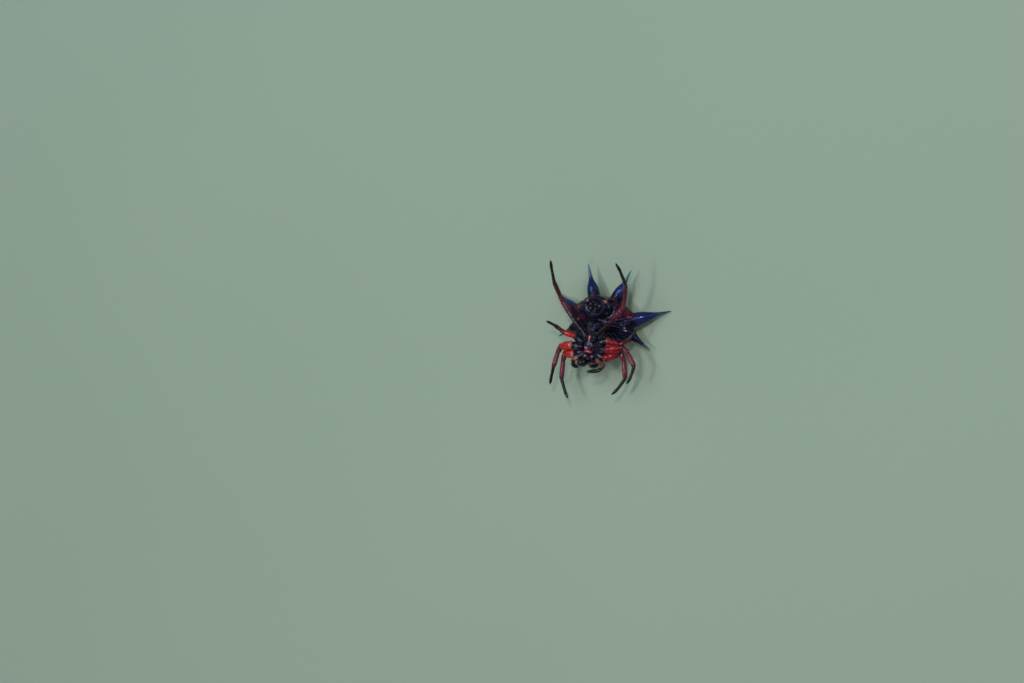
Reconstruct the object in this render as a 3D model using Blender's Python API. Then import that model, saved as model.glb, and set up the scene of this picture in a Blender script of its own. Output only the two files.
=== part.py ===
"""A spiny orb weaver, life size, lying on the flat of its hard back with the underside up.

World frame: +Z is towards the underside, -Y towards the head and +X towards the animal's right.
The origin is on the flat that the back rests on, on the midline under the widest part of the
abdomen. Sizes are millimetres until the end, where each finished mesh is scaled to metres.
"""

import math

import bmesh
import bpy
import numpy as np
from mathutils import Matrix, Vector

METRES_PER_MM = 0.001
GAP = 0.3

# Abdomen: the rim's outline in plan, right half, from the middle of the rear to the middle of the front.
RIM_OUTLINE = [
    (0.0, 2.25),
    (1.6, 2.2),
    (2.9, 1.45),
    (4.15, 0.65),
    (4.5, -0.4),
    (4.45, -1.4),
    (4.75, -2.2),
    (4.3, -2.9),
    (2.8, -3.3),
    (0.0, -3.1),
]
RIM_MIDDLE_Y = -0.4
RIM_LEVEL = 2.1
# The rim dips towards the front, between these distances in front of the middle spines.
RIM_DIP = 0.4
RIM_DIP_REACH = (-0.2, 2.6)
RIM_HALF_THICKNESS = 0.55
BACK_DEPTH = 1.85
BACK_MIDDLE_Y = -1.0
VENTER_RISE = 0.95
VENTER_MIDDLE_Y = 0.65
# How the rings of the abdomen close up towards its rim, and how square its edge and its back are.
RING_CROWDING = 0.85
EDGE_SQUARENESS = 6
BACK_SQUARENESS = 3
BACK_FULLNESS = 0.75
ABDOMEN_SEGMENTS = 64
ABDOMEN_RINGS = 28

# The mound that carries the spinnerets, an oval wall round a crater, turned from a profile of
# shares of its radii and heights, from the middle of its foot to the middle of the crater.
MOUND_MIDDLE_Y = 0.85
MOUND_RADII = (1.72, 1.22)
CRATER_FLOOR = 4.3
MOUND_PROFILE = [
    (0.0, 2.6),
    (1.15, 2.6),
    (1.12, 3.5),
    (1.07, 4.1),
    (1.0, 4.6),
    (0.9, 4.84),
    (0.78, 4.88),
    (0.69, 4.72),
    (0.63, CRATER_FLOOR),
    (0.0, CRATER_FLOOR),
]
MOUND_STEPS = 28
# The swelling in front of the mound, up to the waist.
WAIST_SWELLING_Y = -1.85
WAIST_SWELLING_RADII = (0.95, 0.85)
WAIST_SWELLING_RISE = 1.45
FOLD_DEPTH = 0.1
FOLD_PITCH = 0.8
FOLD_REACH = 1.6

# Spines: base on the right side, tips on both sides as if on the right one, and the radius at shares
# of the length. Each swells at its root and ends in a needle.
SPINE_BASES = {"rear": (1.38, 1.45, 2.1), "middle": (3.45, -0.6, 2.05), "front": (3.82, -2.03, 1.82)}
SPINE_TIPS = {
    ("rear", "left"): (3.15, 5.95, 1.75),
    ("rear", "right"): (3.15, 5.95, 1.75),
    ("middle", "left"): (8.2, 1.95, 0.12),
    ("middle", "right"): (8.5, 1.42, 0.12),
    ("front", "left"): (6.7, -3.65, 1.2),
    ("front", "right"): (6.76, -3.67, 1.2),
}
SPINE_PROFILES = {
    "rear": [
        (0.0, 0.82), (0.2, 0.78), (0.36, 0.7), (0.47, 0.53),
        (0.56, 0.35), (0.66, 0.26), (0.8, 0.19), (1.0, 0.06),
    ],
    "middle": [
        (0.0, 1.0), (0.18, 0.92), (0.32, 0.84), (0.44, 0.7),
        (0.55, 0.51), (0.66, 0.31), (0.8, 0.19), (1.0, 0.06),
    ],
    "front": [
        (0.0, 0.72), (0.2, 0.6), (0.33, 0.43), (0.45, 0.32),
        (0.58, 0.25), (0.78, 0.14), (1.0, 0.06),
    ],
}
SPINE_BEND = {"rear": 0.0, "middle": 0.35, "front": 0.0}
SPINE_STEPS = 16

# Front part of the body.
CARAPACE_MIDDLE = (0.0, -4.6, 3.35)
CARAPACE_RADII = (1.55, 1.6, 0.85)
CARAPACE_UNDER_RADIUS = 0.4
HEAD_LIFT = 0.2
HEAD_NARROWING = 0.3
CHEST_MIDDLE = (0.0, -4.1, 3.95)
CHEST_RADII = (1.3, 1.2, 0.65)
STERNUM_MIDDLE = (0.0, -4.1, 4.55)
STERNUM_RADII = (0.72, 1.15, 0.42)
# Hips: radii, inner ends, outer ends, and the share of the radius at shares of the length.
COXA_RADII = {1: 0.53, 2: 0.53, 3: 0.52, 4: 0.4}
COXA_INNER = {1: (0.75, -4.85, 4.3), 2: (0.85, -4.35, 4.35), 3: (0.8, -3.85, 4.35), 4: (0.45, -3.45, 4.4)}
TROCHANTER = {1: (2.2, -5.3, 4.45), 2: (2.5, -4.22, 4.78), 3: (2.25, -3.1, 4.42), 4: (0.8, -2.6, 4.8)}
COXA_PROFILE = [(0.0, 0.75), (0.25, 1.0), (0.6, 1.0), (0.9, 0.85), (1.0, 0.75)]
PEDICEL_RADIUS = 0.35
PEDICEL_LEVEL = 3.6
PEDICEL_REACH = (-0.6, 0.12)
LABIUM_MIDDLE = (0.0, -5.05, 4.7)
LABIUM_RADII = (0.5, 0.25, 0.25)
ENDITE_MIDDLE = (0.5, -5.2, 4.55)
ENDITE_RADII = (0.35, 0.28, 0.38)
PALP_HIP = [(0.8, -5.05, 4.4), (1.4, -5.53, 4.76)]
PALP_HIP_RADII = (0.36, 0.26)
EYES = [(0.26, -6.0, 2.95), (0.27, -5.75, 2.6), (0.95, -5.75, 3.2), (1.05, -5.45, 3.0)]
EYE_RADIUS = 0.14

# Jaws.
CHELICERA_MIDDLE = (0.83, -6.23, 4.5)
CHELICERA_RADII = (0.66, 0.52, 0.78)
CHELICERA_LEAN = 6.0
FANG_RADIUS = 0.14
# The fang's way across the end of its jaw: shifts inwards, towards the rear and towards the underside.
FANG_ROOT_SHARE = 0.9
FANG_PATH = [(-0.15, 0.0, 0.0), (0.05, 0.1, 0.16), (0.27, 0.28, 0.1)]
FANG_SHARES = (1.0, 0.8, 0.3)

# Legs: lengths of femur with trochanter, patella, tibia, metatarsus and tarsus.
LEG_LENGTHS = {
    1: (2.05, 1.1, 2.2, 1.75, 0.9),
    2: (2.05, 0.95, 1.8, 1.5, 0.85),
    3: (1.5, 0.6, 1.1, 0.9, 0.55),
    4: (5.0, 1.05, 2.05, 2.15, 1.05),
}
# Greatest radii of femur, patella, tibia, metatarsus and tarsus.
LEG_RADII = {
    1: (0.46, 0.32, 0.31, 0.25, 0.25),
    2: (0.47, 0.32, 0.31, 0.25, 0.25),
    3: (0.43, 0.28, 0.27, 0.25, 0.25),
    4: (0.33, 0.28, 0.28, 0.25, 0.25),
}
# Headings from the side towards the rear, and lifts towards the underside, in degrees: femur, tibia, foot.
LEG_POSES = {
    (1, "left"): ((-4, -27), (-93, 3), (-118, 5)),
    (1, "right"): ((30, -29), (-79, -2), (-118, 11)),
    (2, "left"): ((-12, -20), (-80, 4), (-79, -7)),
    (2, "right"): ((15, -16), (-53, 0), (-99, 8)),
    (3, "left"): ((13, 15), (23, -12), (16, -6)),
    (3, "right"): ((-16, -36), (38, 8), (54, -4)),
    (4, "left"): ((44, -1), (84, 40), (93, 33)),
    (4, "right"): ((47, 1), (84, 14), (102, 33)),
}
ROOT_RADII = {1: 0.42, 2: 0.42, 3: 0.4, 4: 0.27}
JOINT_RADIUS = 0.25
CLAW_END_RADIUS = 0.12
KNEE_ROUNDING = 0.42
KNEE_SHARE = 0.35
# The patella points mostly along the tibia, and the tarsus bends on from the metatarsus.
PATELLA_SHARE = 0.8
TARSUS_BEND = 0.35

# Palps: joints in millimetres, from the root to the tip.
PALP_JOINTS = {
    "left": [(-1.6, -5.74, 4.92), (-1.95, -6.02, 4.88), (-1.9, -6.6, 4.85), (-0.98, -6.8, 5.3)],
    "right": [(1.6, -5.74, 4.92), (2.2, -6.2, 4.6), (1.8, -6.85, 4.95), (0.6, -7.15, 5.6)],
}
PALP_RADII = (0.25, 0.28, 0.27, 0.14)

# Spinnerets: the cluster's base, and for the right side's three cones the place and the length.
SPINNERET_BASE_RADIUS = 0.42
SPINNERET_BASE_HEIGHT = 0.2
SPINNERET_BASE_TAPER = 0.9
SPINNERETS = [(0.22, 0.2, 0.5), (0.28, 0.0, 0.32), (0.2, -0.2, 0.45)]
SPINNERET_FOOT = 0.08
SPINNERET_LEAN = 0.35
SPINNERET_RADIUS = 0.15
SPINNERET_PROFILE = [(0.0, 1.0), (0.6, 0.85), (1.0, 0.35)]

COLOURS = {
    "blue_black": ((0.012, 0.012, 0.03), 0.25),
    "black": ((0.01, 0.008, 0.012), 0.3),
    "red_brown": ((0.35, 0.03, 0.03), 0.35),
    "scarlet": ((0.6, 0.05, 0.02), 0.35),
    "orange_brown": ((0.5, 0.12, 0.05), 0.4),
}


def clear_scene():
    """Removes whatever the scene holds."""
    for old in list(bpy.data.objects):
        bpy.data.objects.remove(old, do_unlink=True)


def make_material(name):
    """A glossy shell material in one of the animal's colours."""
    colour, roughness = COLOURS[name]
    material = bpy.data.materials.new(name)
    material.use_nodes = True
    shader = material.node_tree.nodes["Principled BSDF"]
    shader.inputs["Base Color"].default_value = (*colour, 1.0)
    shader.inputs["Roughness"].default_value = roughness
    shader.inputs["Metallic"].default_value = 0.0
    return material


def object_from_bmesh(name, bm):
    """A new object with the shape of a bmesh, which is freed."""
    mesh = bpy.data.meshes.new(name)
    bmesh.ops.recalc_face_normals(bm, faces=bm.faces)
    bm.to_mesh(mesh)
    bm.free()
    thing = bpy.data.objects.new(name, mesh)
    bpy.context.scene.collection.objects.link(thing)
    return thing


def ellipsoid(name, middle, radii, turn=None, segments=16, rings=8):
    """A closed egg shape."""
    bm = bmesh.new()
    bmesh.ops.create_uvsphere(bm, u_segments=segments, v_segments=rings, radius=1.0)
    place = Matrix.Translation(middle) @ (turn or Matrix.Identity(4)) @ Matrix.Diagonal((*radii, 1.0))
    bmesh.ops.transform(bm, matrix=place, verts=bm.verts)
    return object_from_bmesh(name, bm)


def tube(name, points, radii, resolution=2):
    """A closed tube along points, with a radius at each, whose ends are flat caps."""
    curve = bpy.data.curves.new(name, "CURVE")
    curve.dimensions = "3D"
    curve.bevel_depth = 1.0
    curve.bevel_resolution = resolution
    curve.use_fill_caps = True
    spline = curve.splines.new("POLY")
    spline.points.add(len(points) - 1)
    for knot, place, radius in zip(spline.points, points, radii):
        knot.co = (*place, 1.0)
        knot.radius = radius
    guide = bpy.data.objects.new(name + "_guide", curve)
    bpy.context.scene.collection.objects.link(guide)
    evaluated = guide.evaluated_get(bpy.context.evaluated_depsgraph_get())
    mesh = bpy.data.meshes.new_from_object(evaluated)
    bm = bmesh.new()
    bm.from_mesh(mesh)
    bmesh.ops.remove_doubles(bm, verts=bm.verts, dist=0.0001)
    bpy.data.objects.remove(guide, do_unlink=True)
    bpy.data.meshes.remove(mesh)
    return object_from_bmesh(name, bm)


def largest_surface(bm):
    """Deletes every closed surface of a bmesh but the one with the most room inside."""
    left = set(bm.verts)
    surfaces = []
    while left:
        found = {left.pop()}
        edge = list(found)
        while edge:
            near = [e.other_vert(v) for v in edge for e in v.link_edges]
            edge = [v for v in dict.fromkeys(near) if v not in found]
            found.update(edge)
        left -= found
        surfaces.append(found)

    def span(surface):
        corners = [v.co for v in surface]
        sides = [max(c[i] for c in corners) - min(c[i] for c in corners) for i in range(3)]
        return sides[0] * sides[1] * sides[2]

    surfaces.sort(key=span)
    for scrap in surfaces[:-1]:
        bmesh.ops.delete(bm, geom=list(scrap), context="VERTS")


def fuse(core, pieces):
    """Joins closed pieces to a core in one Boolean union, and keeps the outer surface."""
    group = bpy.data.collections.new(core.name + "_pieces")
    bpy.context.scene.collection.children.link(group)
    for piece in pieces:
        group.objects.link(piece)
    union = core.modifiers.new("union", "BOOLEAN")
    union.operation = "UNION"
    union.solver = "EXACT"
    union.operand_type = "COLLECTION"
    union.collection = group
    evaluated = core.evaluated_get(bpy.context.evaluated_depsgraph_get())
    mesh = bpy.data.meshes.new_from_object(evaluated)
    core.modifiers.remove(union)
    bm = bmesh.new()
    bm.from_mesh(mesh)
    largest_surface(bm)
    bm.to_mesh(core.data)
    bm.free()
    bpy.data.meshes.remove(mesh)
    for piece in pieces:
        bpy.data.objects.remove(piece, do_unlink=True)
    bpy.data.collections.remove(group)
    return core


def mirrored(point, side):
    """A right side point on the named side."""
    return Vector((point[0] if side == "right" else -point[0], point[1], point[2]))


def smooth_through(points, steps, closed=False):
    """Points on a Catmull-Rom curve through the given ones."""
    knots = [np.array(p, float) for p in points]
    ends = (knots[-1:], knots[:2]) if closed else ([2 * knots[0] - knots[1]], [2 * knots[-1] - knots[-2]])
    padded = [*ends[0], *knots, *ends[1]]
    spans = len(padded) - 3
    found = []
    for i in range(spans):
        a, b, c, d = padded[i:i + 4]
        for t in np.linspace(0.0, 1.0, steps, endpoint=False):
            found.append(0.5 * (2 * b + (c - a) * t + (2 * a - 5 * b + 4 * c - d) * t**2
                                + (3 * b - a - 3 * c + d) * t**3))
    if not closed:
        found.append(knots[-1])
    return found


def smoothstep(low, high, value):
    """0 below low, 1 above high, and a smooth rise between."""
    t = min(max((value - low) / (high - low), 0.0), 1.0)
    return t * t * (3.0 - 2.0 * t)


def spread(profile, count):
    """The radius at even steps of a profile of shares and radii."""
    shares, radii = np.array(profile).T
    return np.interp(np.linspace(0.0, 1.0, count), shares, radii)


def rim_table():
    """The rim's distance from its middle, as angles and radii that np.interp reads."""
    left = [(-x, y) for x, y in reversed(RIM_OUTLINE[1:-1])]
    outline = np.array(smooth_through(RIM_OUTLINE + left, 10, closed=True))
    outline[:, 1] -= RIM_MIDDLE_Y
    angles = np.arctan2(outline[:, 1], outline[:, 0])
    order = np.argsort(angles)
    return angles[order], np.hypot(outline[:, 0], outline[:, 1])[order]


def edge_level(y, share):
    """The level that the two faces close on, lower at the front of the rim."""
    return RIM_LEVEL - RIM_DIP * smoothstep(*RIM_DIP_REACH, -y) * share**2


def venter_height(x, y, share):
    """The underside's height, where share is the part of the way from the middle out to the rim."""
    edge = RIM_HALF_THICKNESS * (1.0 - share**EDGE_SQUARENESS) ** 0.5
    height = edge_level(y, share) + edge + VENTER_RISE * (1.0 - share**2)
    swelling = math.hypot(x / WAIST_SWELLING_RADII[0], (y - WAIST_SWELLING_Y) / WAIST_SWELLING_RADII[1])
    height += WAIST_SWELLING_RISE * math.exp(-swelling**2) * (1.0 - share**8)
    fold_zone = math.exp(-((x / FOLD_REACH) ** 2)) * (1.0 - share**4)
    return height - FOLD_DEPTH * fold_zone * math.cos(2.0 * math.pi * (y - MOUND_MIDDLE_Y) / FOLD_PITCH)


def abdomen_body():
    """The abdomen without its spines: a sphere drawn out to the rim, the mound and the flat back."""
    angles, radii = rim_table()
    bm = bmesh.new()
    bmesh.ops.create_uvsphere(bm, u_segments=ABDOMEN_SEGMENTS, v_segments=ABDOMEN_RINGS, radius=1.0)
    for vert in bm.verts:
        x, y, z = vert.co
        angle = math.atan2(y, x)
        latitude = math.asin(min(max(z, -1.0), 1.0))
        share = (1.0 - abs(latitude) / (math.pi / 2.0)) ** RING_CROWDING
        reach = float(np.interp(angle, angles, radii, period=2.0 * math.pi)) * share
        inner = 1.0 - share**2
        if z > 0.0:
            middle_y = RIM_MIDDLE_Y + (VENTER_MIDDLE_Y - RIM_MIDDLE_Y) * inner
        else:
            middle_y = RIM_MIDDLE_Y + (BACK_MIDDLE_Y - RIM_MIDDLE_Y) * inner
        place_x = reach * math.cos(angle)
        place_y = middle_y + reach * math.sin(angle)
        if z > 0.0:
            height = venter_height(place_x, place_y, share)
        else:
            edge = RIM_HALF_THICKNESS * (1.0 - share**EDGE_SQUARENESS) ** 0.5
            bulge = (1.0 - share**BACK_SQUARENESS) ** BACK_FULLNESS
            height = max(edge_level(place_y, share) - edge - BACK_DEPTH * bulge, 0.0)
        vert.co = (place_x, place_y, height)
    return object_from_bmesh("abdomen", bm)


def make_mound():
    """The oval mound with its crater, turned from the profile and then drawn out sideways."""
    bm = bmesh.new()
    knots = [bm.verts.new((share, 0.0, height)) for share, height in MOUND_PROFILE]
    edges = [bm.edges.new(pair) for pair in zip(knots, knots[1:])]
    bmesh.ops.spin(bm, geom=knots + edges, cent=(0.0, 0.0, 0.0), axis=(0.0, 0.0, 1.0),
                   angle=2.0 * math.pi, steps=MOUND_STEPS, use_merge=True)
    bmesh.ops.remove_doubles(bm, verts=bm.verts, dist=0.0001)
    place = Matrix.Translation((0.0, MOUND_MIDDLE_Y, 0.0)) @ Matrix.Diagonal((*MOUND_RADII, 1.0, 1.0))
    bmesh.ops.transform(bm, matrix=place, verts=bm.verts)
    return object_from_bmesh("mound", bm)


def make_spine(place, side):
    """One spine: a swollen root, a shoulder and a long needle."""
    base = mirrored(SPINE_BASES[place], side)
    tip = mirrored(SPINE_TIPS[place, side], side)
    points = []
    for t in np.linspace(0.0, 1.0, SPINE_STEPS):
        lift = SPINE_BEND[place] * 4.0 * t * (1.0 - t)
        points.append(base.lerp(tip, t) + Vector((0.0, 0.0, lift)))
    return tube(f"spine_{place}_{side}", points, spread(SPINE_PROFILES[place], SPINE_STEPS), resolution=4)


def make_abdomen():
    """The abdomen with its mound and six spines."""
    pieces = [make_mound()]
    for side in ("left", "right"):
        for place in SPINE_BASES:
            pieces.append(make_spine(place, side))
    return fuse(abdomen_body(), pieces)


def make_spinnerets():
    """The cluster of spinnerets that stands in the mound's crater."""
    floor = Vector((0.0, MOUND_MIDDLE_Y, CRATER_FLOOR + GAP))
    top = floor + Vector((0.0, 0.0, SPINNERET_BASE_HEIGHT))
    base_radii = [SPINNERET_BASE_RADIUS, SPINNERET_BASE_RADIUS * SPINNERET_BASE_TAPER]
    core = tube("spinnerets", [floor, top], base_radii, resolution=4)
    cones = []
    for side in ("left", "right"):
        for x, y, length in SPINNERETS:
            foot = floor + mirrored((x, y, SPINNERET_FOOT), side)
            inward = Vector((-foot.x, MOUND_MIDDLE_Y - foot.y, 0.0)) * SPINNERET_LEAN
            tip = foot + inward + Vector((0.0, 0.0, length))
            points = [foot.lerp(tip, share) for share, _ in SPINNERET_PROFILE]
            radii = [SPINNERET_RADIUS * share for _, share in SPINNERET_PROFILE]
            cones.append(tube(f"cone_{side}_{y}", points, radii))
    return fuse(core, cones)


def carapace_body():
    """The shield over head and chest, narrower and deeper at the head."""
    bm = bmesh.new()
    bmesh.ops.create_uvsphere(bm, u_segments=28, v_segments=16, radius=1.0)
    turn = Matrix.Rotation(math.radians(90.0), 4, "X")
    bmesh.ops.transform(bm, matrix=turn, verts=bm.verts)
    for vert in bm.verts:
        x, y, z = vert.co
        head = smoothstep(0.1, 0.9, -y)
        square = 1.0 + 0.25 * (1.0 - abs(y)) ** 0.5 * smoothstep(0.3, 0.9, abs(y))
        vert.co.x = x * square * (1.0 - HEAD_NARROWING * head) * CARAPACE_RADII[0] + CARAPACE_MIDDLE[0]
        thickness = CARAPACE_UNDER_RADIUS if z > 0.0 else CARAPACE_RADII[2] + HEAD_LIFT * head
        vert.co.z = z * square * thickness + CARAPACE_MIDDLE[2]
        vert.co.y = y * CARAPACE_RADII[1] + CARAPACE_MIDDLE[1]
    return object_from_bmesh("cephalothorax", bm)


def coxa(leg, side):
    """One hip segment, from beside the sternum out to its leg's root."""
    inner = mirrored(COXA_INNER[leg], side)
    outer = mirrored(TROCHANTER[leg], side)
    run = outer - inner
    outer -= run.normalized() * (GAP / 2.0)
    points = [inner.lerp(outer, t) for t, _ in COXA_PROFILE]
    radii = [COXA_RADII[leg] * share for _, share in COXA_PROFILE]
    return tube(f"coxa_{leg}_{side}", points, radii)


def make_cephalothorax():
    """Carapace, sternum, hips, lower lip, jaw bases, eyes and waist in one body."""
    body = carapace_body()
    pieces = [ellipsoid("chest", CHEST_MIDDLE, CHEST_RADII, None, 20, 10)]
    pieces.append(ellipsoid("sternum", STERNUM_MIDDLE, STERNUM_RADII, None, 20, 10))
    pieces.append(ellipsoid("labium", LABIUM_MIDDLE, LABIUM_RADII, None, 12, 6))
    rear = CARAPACE_MIDDLE[1] + CARAPACE_RADII[1]
    waist = [(0.0, rear + reach, PEDICEL_LEVEL) for reach in PEDICEL_REACH]
    pieces.append(tube("pedicel", waist, [PEDICEL_RADIUS, PEDICEL_RADIUS]))
    for side in ("left", "right"):
        pieces.append(ellipsoid(f"endite_{side}", mirrored(ENDITE_MIDDLE, side), ENDITE_RADII, None, 12, 8))
        hip = [mirrored(point, side) for point in PALP_HIP]
        pieces.append(tube(f"palp_hip_{side}", hip, PALP_HIP_RADII))
        for leg in COXA_INNER:
            pieces.append(coxa(leg, side))
        for i, place in enumerate(EYES):
            ball = (EYE_RADIUS, EYE_RADIUS, EYE_RADIUS)
            pieces.append(ellipsoid(f"eye_{side}_{i}", mirrored(place, side), ball, None, 8, 6))
    return fuse(body, pieces)


def make_chelicera(side):
    """One jaw: a stout base with its fang folded across the end."""
    middle = mirrored(CHELICERA_MIDDLE, side)
    lean = Matrix.Rotation(math.radians(CHELICERA_LEAN), 4, "X")
    core = ellipsoid(f"chelicera_{side}", middle, CHELICERA_RADII, lean, 16, 12)
    end = lean @ Vector((0.0, 0.0, CHELICERA_RADII[2]))
    inward = -1.0 if side == "right" else 1.0
    root = middle + end * FANG_ROOT_SHARE
    path = [root + Vector((inward * x, y, z)) for x, y, z in FANG_PATH]
    fang = tube("fang", path, [FANG_RADIUS * share for share in FANG_SHARES])
    return fuse(core, [fang])


def bearing(angles, side):
    """The direction with a heading towards the rear and a lift towards the underside."""
    heading, lift = (math.radians(a) for a in angles)
    flat = math.cos(lift)
    return mirrored((flat * math.cos(heading), flat * math.sin(heading), math.sin(lift)), side)


def leg_joints(leg, side):
    """The six joint places of a leg, from the root to the claws."""
    femur, tibia, foot = (bearing(angles, side) for angles in LEG_POSES[leg, side])
    patella = femur.lerp(tibia, PATELLA_SHARE).normalized()
    toe = (foot + (foot - tibia) * TARSUS_BEND).normalized()
    root = mirrored(TROCHANTER[leg], side)
    joints = [root + femur * (GAP / 2.0)]
    for length, way in zip(LEG_LENGTHS[leg], (femur, patella, tibia, foot, toe)):
        joints.append(joints[-1] + way * length)
    return joints


def rounded_path(joints):
    """The runs between joints with their corners rounded, and how far along the joints each point is."""
    path = [(joints[0], 0.0)]
    last_end = joints[0]
    for i in range(1, len(joints) - 1):
        before = (joints[i] - joints[i - 1]).length
        after = (joints[i + 1] - joints[i]).length
        cut = min(KNEE_ROUNDING, before * KNEE_SHARE, after * KNEE_SHARE)
        start = joints[i].lerp(joints[i - 1], cut / before)
        end = joints[i].lerp(joints[i + 1], cut / after)
        path.append((last_end.lerp(start, 0.5), i - 0.5))
        last_end = end
        for t in (0.0, 0.33, 0.67, 1.0):
            place = start.lerp(joints[i], t).lerp(joints[i].lerp(end, t), t)
            along = i + (t - 0.5) * 2.0 * cut / (before if t < 0.5 else after)
            path.append((place, along))
    path.append((last_end.lerp(joints[-1], 0.55), len(joints) - 1.4))
    path.append((joints[-1], len(joints) - 1.0))
    return path


def make_leg(leg, side):
    """One leg from the trochanter to the claws, thickest in the middle of each segment."""
    last = len(LEG_RADII[leg]) - 1
    points = []
    radii = []
    for place, along in rounded_path(leg_joints(leg, side)):
        segment = min(int(along), last)
        share = along - segment
        swell = math.sin(math.pi * min(max(share, 0.0), 1.0)) ** 0.5
        radius = JOINT_RADIUS + (LEG_RADII[leg][segment] - JOINT_RADIUS) * swell
        if along == 0.0:
            radius = ROOT_RADII[leg]
        if along > last:
            radius += (CLAW_END_RADIUS - radius) * share**2
        points.append(place)
        radii.append(radius)
    return tube(f"leg_{leg}_{side}", points, radii)


def make_palp(side):
    """One palp, curled round towards the jaws."""
    points = smooth_through(PALP_JOINTS[side], 4)
    steps = np.linspace(0.0, len(PALP_RADII) - 1.0, len(points))
    radii = np.interp(steps, range(len(PALP_RADII)), PALP_RADII)
    return tube(f"palp_{side}", points, radii)


def finish(thing, group, material):
    """Scales a finished mesh to metres, shades it smooth and files it in the animal's collection."""
    thing.data.transform(Matrix.Scale(METRES_PER_MM, 4))
    thing.data.materials.clear()
    thing.data.materials.append(material)
    thing.data.shade_smooth()
    thing.data.set_sharp_from_angle(angle=math.radians(50.0))
    for owner in list(thing.users_collection):
        owner.objects.unlink(thing)
    group.objects.link(thing)


def main():
    """Builds every part of the animal."""
    clear_scene()
    group = bpy.data.collections.new("spiny_orb_weaver")
    bpy.context.scene.collection.children.link(group)
    materials = {name: make_material(name) for name in COLOURS}
    finish(make_abdomen(), group, materials["blue_black"])
    finish(make_spinnerets(), group, materials["black"])
    finish(make_cephalothorax(), group, materials["black"])
    for side in ("left", "right"):
        finish(make_chelicera(side), group, materials["black"])
        finish(make_palp(side), group, materials["orange_brown"])
        for leg in LEG_LENGTHS:
            finish(make_leg(leg, side), group, materials["red_brown" if leg == 4 else "scarlet"])


main()
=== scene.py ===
"""A spiny orb weaver, life size, lying on the flat of its hard back with the underside up.

The frame's axes hold here too: +Z is towards the underside, -Y towards the head and +X towards the
animal's right. Shapes are worked out in millimetres, and each finished mesh is scaled to metres.
"""

import logging
import math
from dataclasses import dataclass, field
from enum import Enum
from typing import Any

import bmesh
import bpy
import numpy as np
from mathutils import Matrix, Vector, noise


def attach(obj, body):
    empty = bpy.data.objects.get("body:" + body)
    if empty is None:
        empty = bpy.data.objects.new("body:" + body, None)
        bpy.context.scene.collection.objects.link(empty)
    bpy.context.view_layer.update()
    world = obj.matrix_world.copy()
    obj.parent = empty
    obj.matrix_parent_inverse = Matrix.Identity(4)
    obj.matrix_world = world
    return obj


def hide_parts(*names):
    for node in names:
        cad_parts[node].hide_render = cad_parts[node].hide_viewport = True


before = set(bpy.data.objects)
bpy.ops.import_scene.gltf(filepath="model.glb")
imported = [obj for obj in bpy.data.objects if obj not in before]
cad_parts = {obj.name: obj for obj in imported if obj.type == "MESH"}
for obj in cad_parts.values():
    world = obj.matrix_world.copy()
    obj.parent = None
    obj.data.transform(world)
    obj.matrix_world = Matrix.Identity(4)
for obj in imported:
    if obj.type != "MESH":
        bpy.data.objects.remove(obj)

LOG = logging.getLogger("orb_weaver")
METRES_PER_MM = 0.001
BODY = "root"


class Side(Enum):
    """Which half of the animal a piece belongs to. The value is the sign of its X."""

    LEFT = -1
    RIGHT = 1

    @property
    def word(self) -> str:
        """The side's name as the frame's nodes write it."""
        return self.name.lower()

    def place(self, point: tuple[float, float, float]) -> np.ndarray:
        """A point of the right side, on this side."""
        return np.array([self.value * point[0], point[1], point[2]], float)


class Slot(Enum):
    """The record's material slots."""

    PLATE_AND_SPINES = "plate_and_spines"
    BLACK_SHELL = "black_shell"
    SCARLET_LEG = "scarlet_leg"
    CRIMSON_LEG = "crimson_leg"
    PALP_SKIN = "palp_skin"


def smoothstep(low: float, high: float, value: Any) -> Any:
    """A smooth rise from 0 at low to 1 at high.

    Args:
        low: Where the rise starts.
        high: Where it ends.
        value: A number or an array of them.

    Returns:
        The rise at each value.
    """
    t = np.clip((value - low) / (high - low), 0.0, 1.0)
    return t * t * (3.0 - 2.0 * t)


def smooth_through(points: list, steps: int, closed: bool = False) -> np.ndarray:
    """Points on a Catmull-Rom curve through the given ones.

    Args:
        points: The knots.
        steps: How many points each span between two knots gets.
        closed: Whether the curve comes back to its start.

    Returns:
        One row for each point.
    """
    knots = [np.array(p, float) for p in points]
    before, after = knots[-1:], knots[:2]
    if not closed:
        before, after = [2 * knots[0] - knots[1]], [2 * knots[-1] - knots[-2]]
    padded = [*before, *knots, *after]
    found = []
    for i in range(len(padded) - 3):
        a, b, c, d = padded[i:i + 4]
        for t in np.linspace(0.0, 1.0, steps, endpoint=False):
            bend = (2 * a - 5 * b + 4 * c - d) * t**2 + (3 * b - a - 3 * c + d) * t**3
            found.append(0.5 * (2 * b + (c - a) * t + bend))
    if not closed:
        found.append(knots[-1])
    return np.array(found)


def even_path(points: np.ndarray, marks: np.ndarray, pitch: float) -> tuple[np.ndarray, np.ndarray]:
    """The same path with its points an equal way apart.

    Args:
        points: The path's points.
        marks: A rising number at each point.
        pitch: The way between two new points, in millimetres.

    Returns:
        The new points and the number at each.
    """
    way = np.concatenate([[0.0], np.cumsum(np.linalg.norm(np.diff(points, axis=0), axis=1))])
    stops = np.linspace(0.0, way[-1], max(4, int(way[-1] / pitch)))
    new = np.stack([np.interp(stops, way, points[:, i]) for i in range(3)], axis=1)
    return new, np.interp(stops, way, marks)


def between(start: np.ndarray, end: np.ndarray, shares: np.ndarray) -> np.ndarray:
    """Points at these shares of the way from start to end."""
    return start * (1.0 - shares[:, None]) + end * shares[:, None]


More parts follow.
